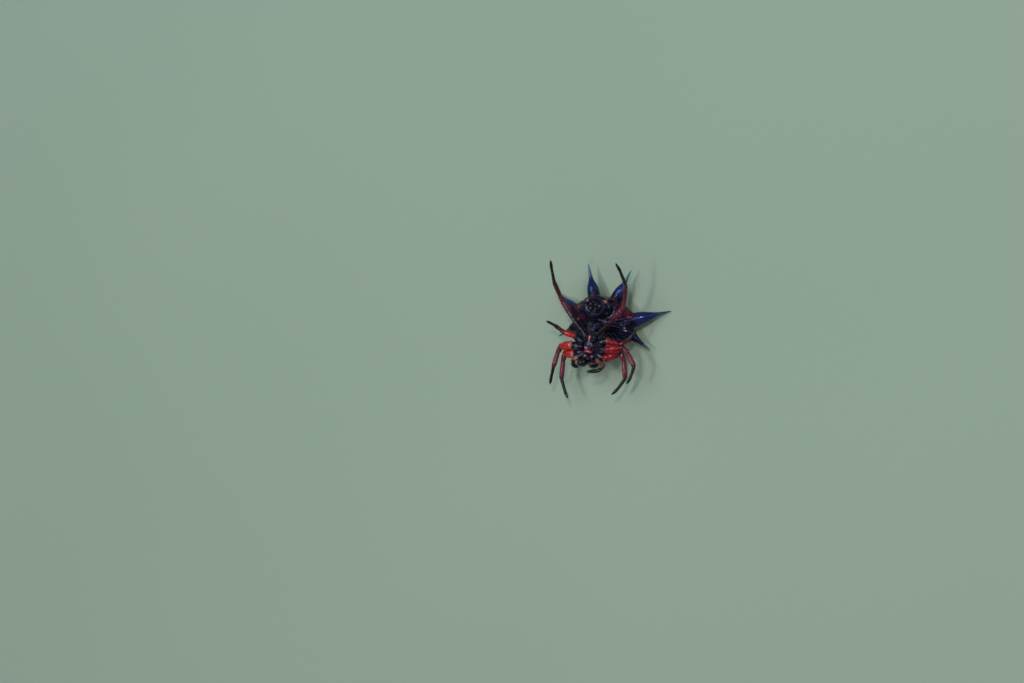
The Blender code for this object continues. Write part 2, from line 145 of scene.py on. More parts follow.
def profile_at(profile: Any, shares: np.ndarray, steps: int = 8) -> np.ndarray:
    """The height at each share of a smooth profile.

    Args:
        profile: Pairs of a share and a height.
        shares: Where the height is wanted.
        steps: How many points each span of the profile gets.

    Returns:
        The heights.
    """
    knots = smooth_through([(place, height, 0.0) for place, height in profile], steps)
    return np.interp(shares, knots[:, 0], knots[:, 1])


def unit(vectors: np.ndarray) -> np.ndarray:
    """The vectors made one long."""
    return vectors / np.maximum(np.linalg.norm(vectors, axis=-1, keepdims=True), 1e-9)


def waves(values: np.ndarray, pitch: float) -> np.ndarray:
    """Even waves from -1 to 1, one crest in each pitch."""
    return np.cos(values * 2.0 * np.pi / pitch)


def roughness_field(points: np.ndarray, size: float, seed: float) -> np.ndarray:
    """Smooth noise at points.

    Args:
        points: Places in millimetres.
        size: The width of a bump, in millimetres.
        seed: Shifts the pattern.

    Returns:
        Numbers about -1 to 1.
    """
    shift = Vector((seed, seed * 1.7, seed * 0.6))
    return np.array([noise.noise(Vector(p) / size + shift) for p in points])


def pebble_field(points: np.ndarray, size: float, seed: float) -> np.ndarray:
    """Rounded pebbles set close.

    Args:
        points: Places in millimetres.
        size: The way between two pebbles, in millimetres.
        seed: Shifts the pattern.

    Returns:
        1 on top of a pebble, falling to 0 between them.
    """
    shift = Vector((seed, seed * 1.3, seed * 0.4))
    near = np.array([noise.voronoi(Vector(p) / size + shift)[0][0] for p in points])
    return np.clip(1.0 - (near / 0.55) ** 2, 0.0, 1.0)


# Materials: one function for colours, one for nodes, and a small class for each finish.


def linear(code: str) -> tuple[float, float, float, float]:
    """The linear colour of an sRGB hex code.

    Args:
        code: Such as "#a0b1c2".

    Returns:
        Red, green, blue and 1.
    """
    parts = [int(code[i:i + 2], 16) / 255.0 for i in (1, 3, 5)]
    return (*[c / 12.92 if c <= 0.04045 else ((c + 0.055) / 1.055) ** 2.4 for c in parts], 1.0)


def add_node(tree: bpy.types.NodeTree, kind: str, settings: dict | None = None,
             links: dict | None = None) -> bpy.types.Node:
    """Adds a node with its settings and links.

    Args:
        tree: The material's tree.
        kind: Blender's name of the node, without its ShaderNode.
        settings: A property or input of the node, by name or index, and its value.
        links: An input, by name or index, and the socket that feeds it.

    Returns:
        The node.
    """
    node = tree.nodes.new("ShaderNode" + kind)
    for key, value in (settings or {}).items():
        if isinstance(key, str) and hasattr(node, key):
            setattr(node, key, value)
        else:
            node.inputs[key].default_value = value
    for key, socket in (links or {}).items():
        tree.links.new(socket, node.inputs[key])
    return node


def per_metre(size_mm: float) -> float:
    """The texture scale that draws a pattern of this size in millimetres."""
    return 1.0 / (size_mm * METRES_PER_MM)


@dataclass(frozen=True)
class Finish:
    """The ground of every finish: a name, and nodes that each kind draws in its own way."""

    name: str

    def shader(self, tree: bpy.types.NodeTree, coords: bpy.types.NodeSocket) -> bpy.types.Node:
        """Draws the finish's nodes on the object's coordinates and gives the shader."""
        raise NotImplementedError(self.name)

    def material(self) -> bpy.types.Material:
        """The finish as a material, made once."""
        if self.name in bpy.data.materials:
            return bpy.data.materials[self.name]
        material = bpy.data.materials.new(self.name)
        material.use_nodes = True
        tree = material.node_tree
        tree.nodes.clear()
        coords = add_node(tree, "TexCoord").outputs["Object"]
        add_node(tree, "OutputMaterial", links={"Surface": self.shader(tree, coords).outputs[0]})
        return material


@dataclass(frozen=True)
class Cuticle(Finish):
    """Tanned cuticle, the hard waxy shell of a spider: dark, glossy and finely grained."""

    deep: str
    light: str
    roughness: float = 0.24
    shine: float = 0.3
    coat: float = 0.3
    metallic: float = 0.0
    cloud_mm: float = 0.5
    grain_mm: float = 0.09
    grain_depth_mm: float = 0.012
    grain_strength: float = 0.35

    def shader(self, tree: bpy.types.NodeTree, coords: bpy.types.NodeSocket) -> bpy.types.Node:
        """Draws the nodes."""
        cloud = add_node(tree, "TexNoise", {"Scale": per_metre(self.cloud_mm), "Detail": 4.0}, {"Vector": coords})
        colour = add_node(tree, "Mix", {"data_type": "RGBA", 6: linear(self.deep), 7: linear(self.light)},
                          {0: cloud.outputs[0]})
        grain = add_node(tree, "TexVoronoi", {"Scale": per_metre(self.grain_mm)}, {"Vector": coords})
        bump = add_node(tree, "Bump", {"Strength": self.grain_strength, "invert": True,
                                       "Distance": self.grain_depth_mm * METRES_PER_MM},
                        {"Height": grain.outputs["Distance"]})
        gloss = add_node(tree, "MapRange", {"To Min": self.roughness * 0.8, "To Max": self.roughness * 1.3},
                         {"Value": cloud.outputs[0]})
        return add_node(tree, "BsdfPrincipled",
                        {"Metallic": self.metallic, "IOR": 1.56, "Specular IOR Level": self.shine,
                         "Coat Weight": self.coat, "Coat Roughness": 0.08},
                        {"Base Color": colour.outputs[2], "Roughness": gloss.outputs[0],
                         "Normal": bump.outputs[0]})


@dataclass(frozen=True)
class LimbCuticle(Finish):
    """Thin coloured cuticle of legs and palps, in bands along the limb, a little see-through."""

    bands: tuple[tuple[float, str], ...]
    roughness: float = 0.24
    shine: float = 0.3
    coat: float = 0.2
    glow: float = 0.12
    # The depth of the low lumps that break up the gleam of rough segments.
    lump_depth_mm: float = 0.004

    def shader(self, tree: bpy.types.NodeTree, coords: bpy.types.NodeSocket) -> bpy.types.Node:
        """Draws the nodes."""
        along = add_node(tree, "Attribute", {"attribute_name": "along"}).outputs["Fac"]
        blur = add_node(tree, "TexNoise", {"Scale": per_metre(0.25), "Detail": 3.0}, {"Vector": coords})
        shift = add_node(tree, "MapRange", {"To Min": -0.012, "To Max": 0.012}, {"Value": blur.outputs[0]})
        place = add_node(tree, "Math", {"operation": "ADD"}, {0: along, 1: shift.outputs[0]})
        ramp = add_node(tree, "ValToRGB", links={"Fac": place.outputs[0]})
        stops = ramp.color_ramp.elements
        while len(stops) < len(self.bands):
            stops.new(0.5)
        for stop, (where, code) in zip(stops, self.bands):
            stop.position = where
            stop.color = linear(code)
        cloud = add_node(tree, "TexNoise", {"Scale": per_metre(0.6), "Detail": 4.0}, {"Vector": coords})
        shade = add_node(tree, "MapRange", {"To Min": 0.72, "To Max": 1.25}, {"Value": cloud.outputs[0]})
        colour = add_node(tree, "VectorMath", {"operation": "SCALE"},
                          {0: ramp.outputs[0], "Scale": shade.outputs[0]})
        lumps = add_node(tree, "TexNoise", {"Scale": per_metre(0.26), "Detail": 0.0}, {"Vector": coords})
        lumpy = add_node(tree, "Bump", {"Distance": self.lump_depth_mm * METRES_PER_MM},
                         {"Height": lumps.outputs[0]})
        grain = add_node(tree, "TexVoronoi", {"Scale": per_metre(0.07)}, {"Vector": coords})
        bump = add_node(tree, "Bump", {"Strength": 0.3, "Distance": 0.008 * METRES_PER_MM, "invert": True},
                        {"Height": grain.outputs["Distance"], "Normal": lumpy.outputs[0]})
        return add_node(tree, "BsdfPrincipled",
                        {"Roughness": self.roughness, "IOR": 1.5, "Specular IOR Level": self.shine,
                         "Coat Weight": self.coat, "Coat Roughness": 0.08, "Subsurface Weight": self.glow,
                         "Subsurface Radius": (0.0006, 0.0002, 0.0001), "Subsurface Scale": 0.5},
                        {"Base Color": colour.outputs[0], "Normal": bump.outputs[0]})


@dataclass(frozen=True)
class AbdomenCuticle(Finish):
    """Thick tanned cuticle of the abdomen, with its markings on attributes of the mesh."""

    name: str = "abdomen_cuticle"
    black: str = "#07060c"
    violet: str = "#131226"
    spine_blue: str = "#2c3664"
    needle: str = "#527084"
    root_red: str = "#581018"
    plate: str = "#d8822c"
    plate_light: str = "#ecc06a"
    pit: str = "#140c0c"
    spot: str = "#6c2c26"
    spot_light: str = "#ac6a60"
    # The bluish tint of its gleam.
    gleam: str = "#c8ceff"

    def shader(self, tree: bpy.types.NodeTree, coords: bpy.types.NodeSocket) -> bpy.types.Node:
        """Draws the nodes."""
        cloud = add_node(tree, "TexNoise", {"Scale": per_metre(0.9), "Detail": 5.0}, {"Vector": coords})
        fine = add_node(tree, "TexNoise", {"Scale": per_metre(0.18), "Detail": 3.0}, {"Vector": coords})
        edge = add_node(tree, "MapRange", {"To Min": -0.11, "To Max": 0.11}, {"Value": fine.outputs[0]})
        ground = add_node(tree, "Mix", {"data_type": "RGBA", 6: linear(self.black), 7: linear(self.violet)},
                          {0: cloud.outputs[0]})
        layer = ground.outputs[2]
        plate = add_node(tree, "Mix", {"data_type": "RGBA", 6: linear(self.plate), 7: linear(self.plate_light)},
                         {0: cloud.outputs[0]})
        spot = add_node(tree, "Mix", {"data_type": "RGBA", 6: linear(self.spot), 7: linear(self.spot_light)},
                        {0: add_node(tree, "Attribute", {"attribute_name": "spot"}).outputs["Fac"]})
        paints = (("plate", plate.outputs[2], 0.45, 0.55), ("red", linear(self.root_red), 0.2, 0.9),
                  ("blue", linear(self.spine_blue), 0.1, 0.95), ("needle", linear(self.needle), 0.1, 0.9),
                  ("pit", linear(self.pit), 0.35, 0.6), ("spot", spot.outputs[2], 0.4, 0.6))
        for attribute, paint, low, high in paints:
            share = add_node(tree, "Attribute", {"attribute_name": attribute}).outputs["Fac"]
            share = add_node(tree, "Math", {"operation": "ADD"}, {0: share, 1: edge.outputs[0]})
            mask = add_node(tree, "MapRange", {"interpolation_type": "SMOOTHSTEP", "From Min": low, "From Max": high},
                            {"Value": share.outputs[0]})
            settings = {"data_type": "RGBA"}
            links = {0: mask.outputs[0], 6: layer}
            if isinstance(paint, tuple):
                settings[7] = paint
            else:
                links[7] = paint
            layer = add_node(tree, "Mix", settings, links).outputs[2]
        blue = add_node(tree, "Attribute", {"attribute_name": "blue"}).outputs["Fac"]
        metal = add_node(tree, "MapRange", {"To Min": 0.0, "To Max": 0.6}, {"Value": blue})
        gloss = add_node(tree, "MapRange", {"To Min": 0.14, "To Max": 0.26}, {"Value": fine.outputs[0]})
        pebbles = add_node(tree, "TexVoronoi", {"Scale": per_metre(0.11)}, {"Vector": coords})
        wrinkle = add_node(tree, "TexNoise", {"Scale": per_metre(0.12), "Detail": 4.0}, {"Vector": coords})
        rough = add_node(tree, "Math", {"operation": "SUBTRACT"},
                         {0: wrinkle.outputs[0], 1: pebbles.outputs["Distance"]})
        bump = add_node(tree, "Bump", {"Strength": 0.22, "Distance": 0.012 * METRES_PER_MM},
                        {"Height": rough.outputs[0]})
        return add_node(tree, "BsdfPrincipled",
                        {"IOR": 1.56, "Specular IOR Level": 0.3, "Specular Tint": linear(self.gleam),
                         "Coat Weight": 0.1, "Coat Roughness": 0.1},
                        {"Base Color": layer, "Metallic": metal.outputs[0], "Roughness": gloss.outputs[0],
                         "Normal": bump.outputs[0]})


@dataclass(frozen=True)
class Lens(Finish):
    """The smooth clear cornea of a spider's simple eye over a dark cup."""

    name: str = "eye_cornea"
    colour: str = "#0b0604"
    cup: str = "#3a1c10"

    def shader(self, tree: bpy.types.NodeTree, coords: bpy.types.NodeSocket) -> bpy.types.Node:
        """Draws the nodes."""
        cloud = add_node(tree, "TexNoise", {"Scale": per_metre(0.1)}, {"Vector": coords})
        colour = add_node(tree, "Mix", {"data_type": "RGBA", 6: linear(self.colour), 7: linear(self.cup)},
                          {0: cloud.outputs[0]})
        return add_node(tree, "BsdfPrincipled",
                        {"Roughness": 0.08, "IOR": 1.45, "Coat Weight": 1.0, "Coat Roughness": 0.02},
                        {"Base Color": colour.outputs[2]})


@dataclass(frozen=True)
class Seta(Finish):
    """Hairs of clear to dark cuticle, which catch the light along their length."""

    root: str
    tip: str
    roughness: float = 0.35

    def shader(self, tree: bpy.types.NodeTree, coords: bpy.types.NodeSocket) -> bpy.types.Node:
        """Draws the nodes."""
        cloud = add_node(tree, "TexNoise", {"Scale": per_metre(0.5)}, {"Vector": coords})
        share = add_node(tree, "Attribute", {"attribute_name": "along"}).outputs["Fac"]
        mixed = add_node(tree, "Math", {"operation": "MULTIPLY", "use_clamp": True},
                         {0: share, 1: cloud.outputs[0]})
        colour = add_node(tree, "Mix", {"data_type": "RGBA", 6: linear(self.root), 7: linear(self.tip)},
                          {0: mixed.outputs[0]})
        return add_node(tree, "BsdfPrincipled", {"Roughness": self.roughness, "IOR": 1.55},
                        {"Base Color": colour.outputs[2]})


@dataclass(frozen=True)
class PaintedBoard(Finish):
    """Matt painted board under the animal, plain and pale."""

    name: str = "matt_board"
    colour: str = "#a3b79a"
    light: str = "#a9bca0"

    def shader(self, tree: bpy.types.NodeTree, coords: bpy.types.NodeSocket) -> bpy.types.Node:
        """Draws the nodes."""
        cloud = add_node(tree, "TexNoise", {"Scale": per_metre(60.0), "Detail": 1.0}, {"Vector": coords})
        colour = add_node(tree, "Mix", {"data_type": "RGBA", 6: linear(self.colour), 7: linear(self.light)},
                          {0: cloud.outputs[0]})
        return add_node(tree, "BsdfPrincipled", {"Roughness": 0.9, "Specular IOR Level": 0.2},
                        {"Base Color": colour.outputs[2]})


BLACK_SHELL = Cuticle("black_cuticle", "#08060c", "#14101c")
HIP_SHELL = Cuticle("hip_cuticle", "#080512", "#17122a", roughness=0.2, shine=0.25, coat=0.25,
                    grain_strength=0.15)
JAW_SHELL = Cuticle("jaw_cuticle", "#0a0612", "#1c1228", roughness=0.22, coat=0.4, grain_strength=0.2)
VIOLET_SHELL = Cuticle("violet_cuticle", "#140e1c", "#3a2a46", roughness=0.28, metallic=0.15)
STERNUM_SHELL = Cuticle("sternum_cuticle", "#180c1c", "#382040", roughness=0.36, metallic=0.1,
                        grain_mm=0.08, grain_strength=0.5)
# Pale pink cuticle that paints a highlight on the sternum's front.
PAINTED_SHEEN_SHELL = Cuticle("sternum_painted_sheen_cuticle", "#583046", "#c0849c", roughness=0.36, cloud_mm=0.2)
CRIMSON_SHELL = Cuticle("crimson_cuticle", "#5c0818", "#8c1430", roughness=0.26, cloud_mm=0.3)
CARAPACE_SHELL = Cuticle("carapace_cuticle", "#120c0e", "#2c1a1c", grain_mm=0.07, grain_strength=0.5)
ROSE_SHELL = Cuticle("rose_cuticle", "#bc4c5c", "#e49a98", roughness=0.3, cloud_mm=0.25)
SOFT_SKIN = Cuticle("joint_skin", "#150d10", "#2c1c20", roughness=0.5, coat=0.1, grain_mm=0.06)
FANG_HORN = Cuticle("fang_horn", "#0a0405", "#4a1410", roughness=0.14, coat=0.9, grain_strength=0.0)
CLAW_HORN = Cuticle("claw_horn", "#0a0707", "#2a1510", roughness=0.2, grain_strength=0.0)
BLACK_SETA = Seta("black_seta", "#0a0808", "#2c2420")
PALE_SETA = Seta("pale_seta", "#8d8880", "#f1eee6")
SMOKY_SETA = Seta("smoky_seta", "#141016", "#5c5658")
AMBER_SETA = Seta("amber_seta", "#3c120e", "#b07a60")


# Mesh helpers.


def new_piece(name: str, bm: bmesh.types.BMesh, finish: Finish,
              nodes: tuple[str, ...] = ()) -> bpy.types.Object:
    """Makes a finished piece out of a bmesh in millimetres, which is freed.

    Args:
        name: The piece's name.
        bm: Its shape.
        finish: What gives its material.
        nodes: The frame's nodes that it stands for.

    Returns:
        The object, which rides on the animal.
    """
    return dress(name, to_mesh(name, bm), finish, nodes)


def dress(name: str, mesh: bpy.types.Mesh, finish: Finish,
          nodes: tuple[str, ...] = ()) -> bpy.types.Object:
    """Makes a finished piece out of a mesh in millimetres.

    Args:
        name: The piece's name.
        mesh: Its shape.
        finish: What gives its material.
        nodes: The frame's nodes that it stands for.

    Returns:
        The object, which rides on the animal.
    """
    mesh.transform(Matrix.Scale(METRES_PER_MM, 4))
    mesh.materials.clear()
    mesh.materials.append(finish.material())
    mesh.shade_smooth()
    piece = bpy.data.objects.new(name, mesh)
    bpy.context.scene.collection.objects.link(piece)
    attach(piece, BODY)
    if nodes:
        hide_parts(*nodes)
    LOG.info("%s: %d faces", name, len(mesh.polygons))
    return piece


def ring_frames(path: np.ndarray, radii: np.ndarray, flatness: float = 1.0) -> list[Matrix]:
    """The place of a ring at each point of a path, turned as little as the path allows.

    Args:
        path: The path's points.
        radii: The ring's radius at each.
        flatness: The ring's height as a share of its width.

    Returns:
        A matrix for each ring, whose Z runs along the path.
    """
    ways = unit(np.gradient(path, axis=0))
    up = np.array([0.0, 0.0, 1.0])
    if abs(ways[0] @ up) > 0.9:
        up = np.array([0.0, 1.0, 0.0])
    frames = []
    for place, way, radius in zip(path, ways, radii):
        up = unit(up - way * (up @ way))
        side = np.cross(up, way)
        columns = (side * radius, up * radius * flatness, way, place)
        frames.append(Matrix([[*(float(c[i]) for c in columns)] for i in range(3)] + [[0.0, 0.0, 0.0, 1.0]]))
    return frames


def add_tube(bm: bmesh.types.BMesh, path: np.ndarray, radii: np.ndarray, marks: np.ndarray | None = None,
             sides: int = 20, flatness: float = 1.0) -> list[Matrix]:
    """Draws a closed round limb by extruding a ring along a path.

    Args:
        bm: The bmesh that gets it.
        path: The path's points, in millimetres.
        radii: The limb's radius at each.
        marks: A number for each ring, kept on the attribute "along".
        sides: The ring's corners.
        flatness: The ring's height as a share of its width.

    Returns:
        The matrix of each ring.
    """
    layer = bm.verts.layers.float.get("along") or bm.verts.layers.float.new("along")
    frames = ring_frames(path, radii, flatness)
    marks = np.linspace(0.0, 1.0, len(path)) if marks is None else marks
    ring = bmesh.ops.create_circle(bm, cap_ends=True, segments=sides, radius=1.0, matrix=frames[0])["verts"]
    edges = list(dict.fromkeys(e for v in ring for e in v.link_edges))
    for vert in ring:
        vert[layer] = marks[0]
    for before, after, mark in zip(frames, frames[1:], marks[1:]):
        grown = bmesh.ops.extrude_edge_only(bm, edges=edges)["geom"]
        ring = [g for g in grown if isinstance(g, bmesh.types.BMVert)]
        edges = [g for g in grown if isinstance(g, bmesh.types.BMEdge) and set(g.verts) <= set(ring)]
        bmesh.ops.transform(bm, matrix=after @ before.inverted(), verts=ring)
        for vert in ring:
            vert[layer] = mark
    bmesh.ops.contextual_create(bm, geom=edges)
    return frames


def add_ball(bm: bmesh.types.BMesh, middle: np.ndarray, radii: tuple[float, float, float],
             turn: Matrix | None = None, segments: int = 32, rings: int = 20) -> list[bmesh.types.BMVert]:
    """Adds an egg shape.

    Args:
        bm: The bmesh that gets it.
        middle: Its middle, in millimetres.
        radii: Its three radii.
        turn: How it is turned.
        segments: Its meridians.
        rings: Its parallels.

    Returns:
        Its corners.
    """
    place = Matrix.Translation(Vector(middle)) @ (turn or Matrix.Identity(4)) @ Matrix.Diagonal((*radii, 1.0))
    return bmesh.ops.create_uvsphere(bm, u_segments=segments, v_segments=rings, radius=1.0,
                                     matrix=place)["verts"]


def corner_table(mesh: bpy.types.Mesh, what: str = "co") -> np.ndarray:
    """The mesh's corners, or their normals, one row each."""
    table = np.zeros(len(mesh.vertices) * 3, np.float32)
    source = mesh.vertices if what == "co" else mesh.vertex_normals
    source.foreach_get("co" if what == "co" else "vector", table)
    return table.reshape(-1, 3).astype(float)


def set_corners(mesh: bpy.types.Mesh, places: np.ndarray) -> None:
    """Moves the mesh's corners."""
    mesh.vertices.foreach_set("co", places.astype(np.float32).ravel())
    mesh.update()


def set_marks(mesh: bpy.types.Mesh, name: str, values: np.ndarray) -> None:
    """Keeps a number for each corner on an attribute of the mesh."""
    attribute = mesh.attributes.get(name) or mesh.attributes.new(name, "FLOAT", "POINT")
    attribute.data.foreach_set("value", values.astype(np.float32))


def to_mesh(name: str, bm: bmesh.types.BMesh, outward: bool = True) -> bpy.types.Mesh:
    """A new mesh with the bmesh's shape, its faces turned outward if asked. The bmesh is freed."""
    if outward:
        bmesh.ops.recalc_face_normals(bm, faces=bm.faces)
    mesh = bpy.data.meshes.new(name)
    bm.to_mesh(mesh)
    bm.free()
    return mesh


def add_mesh(bm: bmesh.types.BMesh, more: bmesh.types.BMesh) -> None:
    """Adds one bmesh to another. The added one is freed."""
    mesh = to_mesh("more", more)
    bm.from_mesh(mesh)
    bpy.data.meshes.remove(mesh)


def one_skin(name: str, bm: bmesh.types.BMesh, grain: float, smoothing: int) -> bpy.types.Mesh:
    """Melts crossing shapes into one closed skin.

    Args:
        name: The mesh's name.
        bm: The crossing shapes, in millimetres, which is freed.
        grain: The width of a face of the skin, in millimetres.
        smoothing: How often the skin is smoothed.

    Returns:
        The skin.
    """
    lump = bpy.data.objects.new(name + "_lump", to_mesh(name + "_lump", bm))
    bpy.context.scene.collection.objects.link(lump)
    melt = lump.modifiers.new("melt", "REMESH")
    melt.mode = "VOXEL"
    melt.voxel_size = grain
    mesh = bpy.data.meshes.new_from_object(lump.evaluated_get(bpy.context.evaluated_depsgraph_get()))
    bpy.data.objects.remove(lump, do_unlink=True)
    melted = bmesh.new()
    melted.from_mesh(mesh)
    for _ in range(smoothing):
        bmesh.ops.smooth_vert(melted, verts=melted.verts, factor=0.5, use_axis_x=True, use_axis_y=True,
                              use_axis_z=True)
    melted.to_mesh(mesh)
    melted.free()
    mesh.name = name
    return mesh


@dataclass
class Coat:
    """Fine hairs, each a thin bent cone of three sides, joined in one mesh."""

    sides: int = 3
    bands: int = 3
    tip_share: float = 0.12
    patch: float = 0.003
    roots: list = field(default_factory=list)
    ways: list = field(default_factory=list)
    outs: list = field(default_factory=list)
    lengths: list = field(default_factory=list)
    widths: list = field(default_factory=list)
    places: list = field(default_factory=list)

    def add(self, roots: np.ndarray, ways: np.ndarray, outs: np.ndarray, lengths: np.ndarray, width: float,
            places: np.ndarray) -> None:
        """Adds hairs.

        Args:
            roots: Where each grows, in millimetres.
            ways: The direction of each at its root.
            outs: The skin's normal there.
            lengths: How long each is.
            width: The radius at the root.
            places: Each root's place on the skin's unwrap.
        """
        self.roots.append(roots)
        self.ways.append(unit(ways))
        self.outs.append(unit(outs))
        self.lengths.append(lengths)
        self.widths.append(np.full(len(roots), width))
        self.places.append(places)

    def template(self, count: int) -> bmesh.types.BMesh:
        """A bmesh with this many upright hairs in one place."""
        bm = bmesh.new()
        bmesh.ops.create_cone(bm, cap_ends=True, segments=self.sides, radius1=1.0, radius2=self.tip_share,
                              depth=1.0, matrix=Matrix.Translation((0.0, 0.0, 0.5)))
        tall = [e for e in bm.edges if abs(e.verts[0].co.z - e.verts[1].co.z) > 0.5]
        bmesh.ops.subdivide_edges(bm, edges=tall, cuts=self.bands - 1, use_grid_fill=False)
        bmesh.ops.triangulate(bm, faces=bm.faces)
        sizes = [len(bm.verts), len(bm.edges), len(bm.faces)]
        made = 1
        while made < count:
            more = min(made, count - made)
            kinds = (bm.verts, bm.edges, bm.faces)
            for kind in kinds:
                kind.ensure_lookup_table()
            geom = [g for kind, size in zip(kinds, sizes) for g in kind[:more * size]]
            bmesh.ops.duplicate(bm, geom=geom)
            made += more
        return bm

    def grow(self, name: str, finish: Seta, slot: Slot) -> bpy.types.Object:
        """Makes the piece.

        Args:
            name: The piece's name.
            finish: What gives its material.
            slot: The record's slot; not used.

        Returns:
            The object.
        """
        roots, ways, outs = (np.concatenate(x) for x in (self.roots, self.ways, self.outs))
        lengths, widths, places = (np.concatenate(x) for x in (self.lengths, self.widths, self.places))
        mesh = to_mesh(name, self.template(len(roots)), outward=False)
        shape = corner_table(mesh).reshape(len(roots), -1, 3)
        sideways = unit(np.cross(ways, outs) + 1e-6)
        across = unit(np.cross(sideways, ways))
        rise = shape[:, :, 2:3]
        thin = widths[:, None, None] * (1.0 - 0.3 * rise)
        tall = lengths[:, None, None]
        droop = unit(ways - outs * 0.6)
        middle = roots[:, None] + tall * (ways[:, None] * rise + (droop - ways)[:, None] * rise**2 * 0.5)
        middle = middle - outs[:, None] * widths[:, None, None] * 1.5 * (1.0 - rise)
        solid = middle + sideways[:, None] * shape[:, :, :1] * thin + across[:, None] * shape[:, :, 1:2] * thin
        set_corners(mesh, solid.reshape(-1, 3))
        set_marks(mesh, "along", np.broadcast_to(rise[..., 0], shape.shape[:2]).reshape(-1))
        spread = np.stack([shape[:, :, 0] * 0.5, shape[:, :, 2] - 0.5], axis=-1) * self.patch
        flat = (places[:, None] + spread).reshape(-1, 2)
        corners = np.zeros(len(mesh.loops), np.int32)
        mesh.loops.foreach_get("vertex_index", corners)
        unwrap = mesh.uv_layers.new(name="OFBake")
        unwrap.data.foreach_set("uv", np.clip(flat[corners], 0.0, 1.0).astype(np.float32).ravel())
        return dress(name, mesh, finish)


@dataclass(frozen=True)
class HairStyle:
    """How hairs stand: shortest and longest, radius at the root, and their lean or stand off the skin."""

    length: tuple[float, float]
    width: float
    # On a limb, 0 stands out and 1 lies along it. On a skin, the share of the way that points straight out.
    lean: float
    scatter: float = 0.12


def hairs_on_tube(coat: Coat, frames: list[Matrix], marks: np.ndarray, count: int, seed: int,
                  style: HairStyle, span: tuple[float, float]) -> None:
    """Sets hairs on a limb that add_tube drew.

    Args:
        coat: The coat that gets them.
        frames: The limb's ring matrices.
        marks: The number of each ring.
        count: How many hairs.
        seed: Makes the draw the same each run.
        style: How they stand.
        span: The lowest and the highest number of the rings that carry them.
    """
    rng = np.random.default_rng(seed)
    picked = np.flatnonzero((marks >= span[0]) & (marks <= span[1]))
    rings = rng.choice(picked, count)
    turns = 2.0 * np.pi * rng.random(count)
    table = np.array([frames[i] for i in rings])
    flat = np.stack([np.cos(turns), np.sin(turns)], axis=1)
    spokes = table[:, :3, 0] * flat[:, :1] + table[:, :3, 1] * flat[:, 1:]
    roots = table[:, :3, 3] + spokes
    outs = unit(spokes)
    ways = outs * (1.0 - style.lean) + table[:, :3, 2] * style.lean + rng.normal(0.0, style.scatter, (count, 3))
    places = np.stack([turns / (2.0 * np.pi), marks[rings]], axis=1)
    coat.add(roots, ways, outs, rng.uniform(*style.length, count), style.width, places)


def hairs_on_skin(mesh: bpy.types.Mesh, chance: np.ndarray, drift: np.ndarray, flat: np.ndarray, count: int,
                  seed: int, style: HairStyle) -> Coat:
    """Sets hairs on the corners of a skin.

    Args:
        mesh: The skin, in millimetres.
        chance: How likely each corner is to carry one.
        drift: The way that the hairs lean, for each corner or for all.
        flat: Each corner's place on the skin's unwrap.
        count: How many hairs.
        seed: Makes the draw the same each run.
        style: How they stand.

    Returns:
        The coat.
    """
    rng = np.random.default_rng(seed)
    places = corner_table(mesh)
    normals = corner_table(mesh, "normal")
    picked = rng.choice(len(places), count, replace=False, p=chance / chance.sum())
    drift = np.broadcast_to(drift, places.shape)[picked]
    ways = normals[picked] * style.lean + drift + rng.normal(0.0, style.scatter, (count, 3))
    coat = Coat()
    coat.add(places[picked], ways, normals[picked], rng.uniform(*style.length, count), style.width, flat[picked])
    return coat


# The abdomen.


@dataclass
class Spine:
    """One of the abdomen's spines: a swollen root, a shoulder and a long needle."""

    base: tuple[float, float, float]
    tips: dict[Side, tuple[float, float, float]]
    profile: tuple[tuple[float, float], ...]
    bend: float = 0.0
    # How blue the shoulder shines and how light the needle is, from 0 to 1.
    sheen: float = 1.0
    tone: float = 1.0
    steps: int = 90

    def axis(self, side: Side) -> tuple[np.ndarray, np.ndarray, np.ndarray]:
        """The shares of the way to the tip, the middle line and the radius at each."""
        shares = np.linspace(0.0, 1.0, self.steps)
        line = between(side.place(self.base), side.place(self.tips[side]), shares)
        line[:, 2] += self.bend * 4.0 * shares * (1.0 - shares)
        return shares, line, profile_at(self.profile, shares, 6)


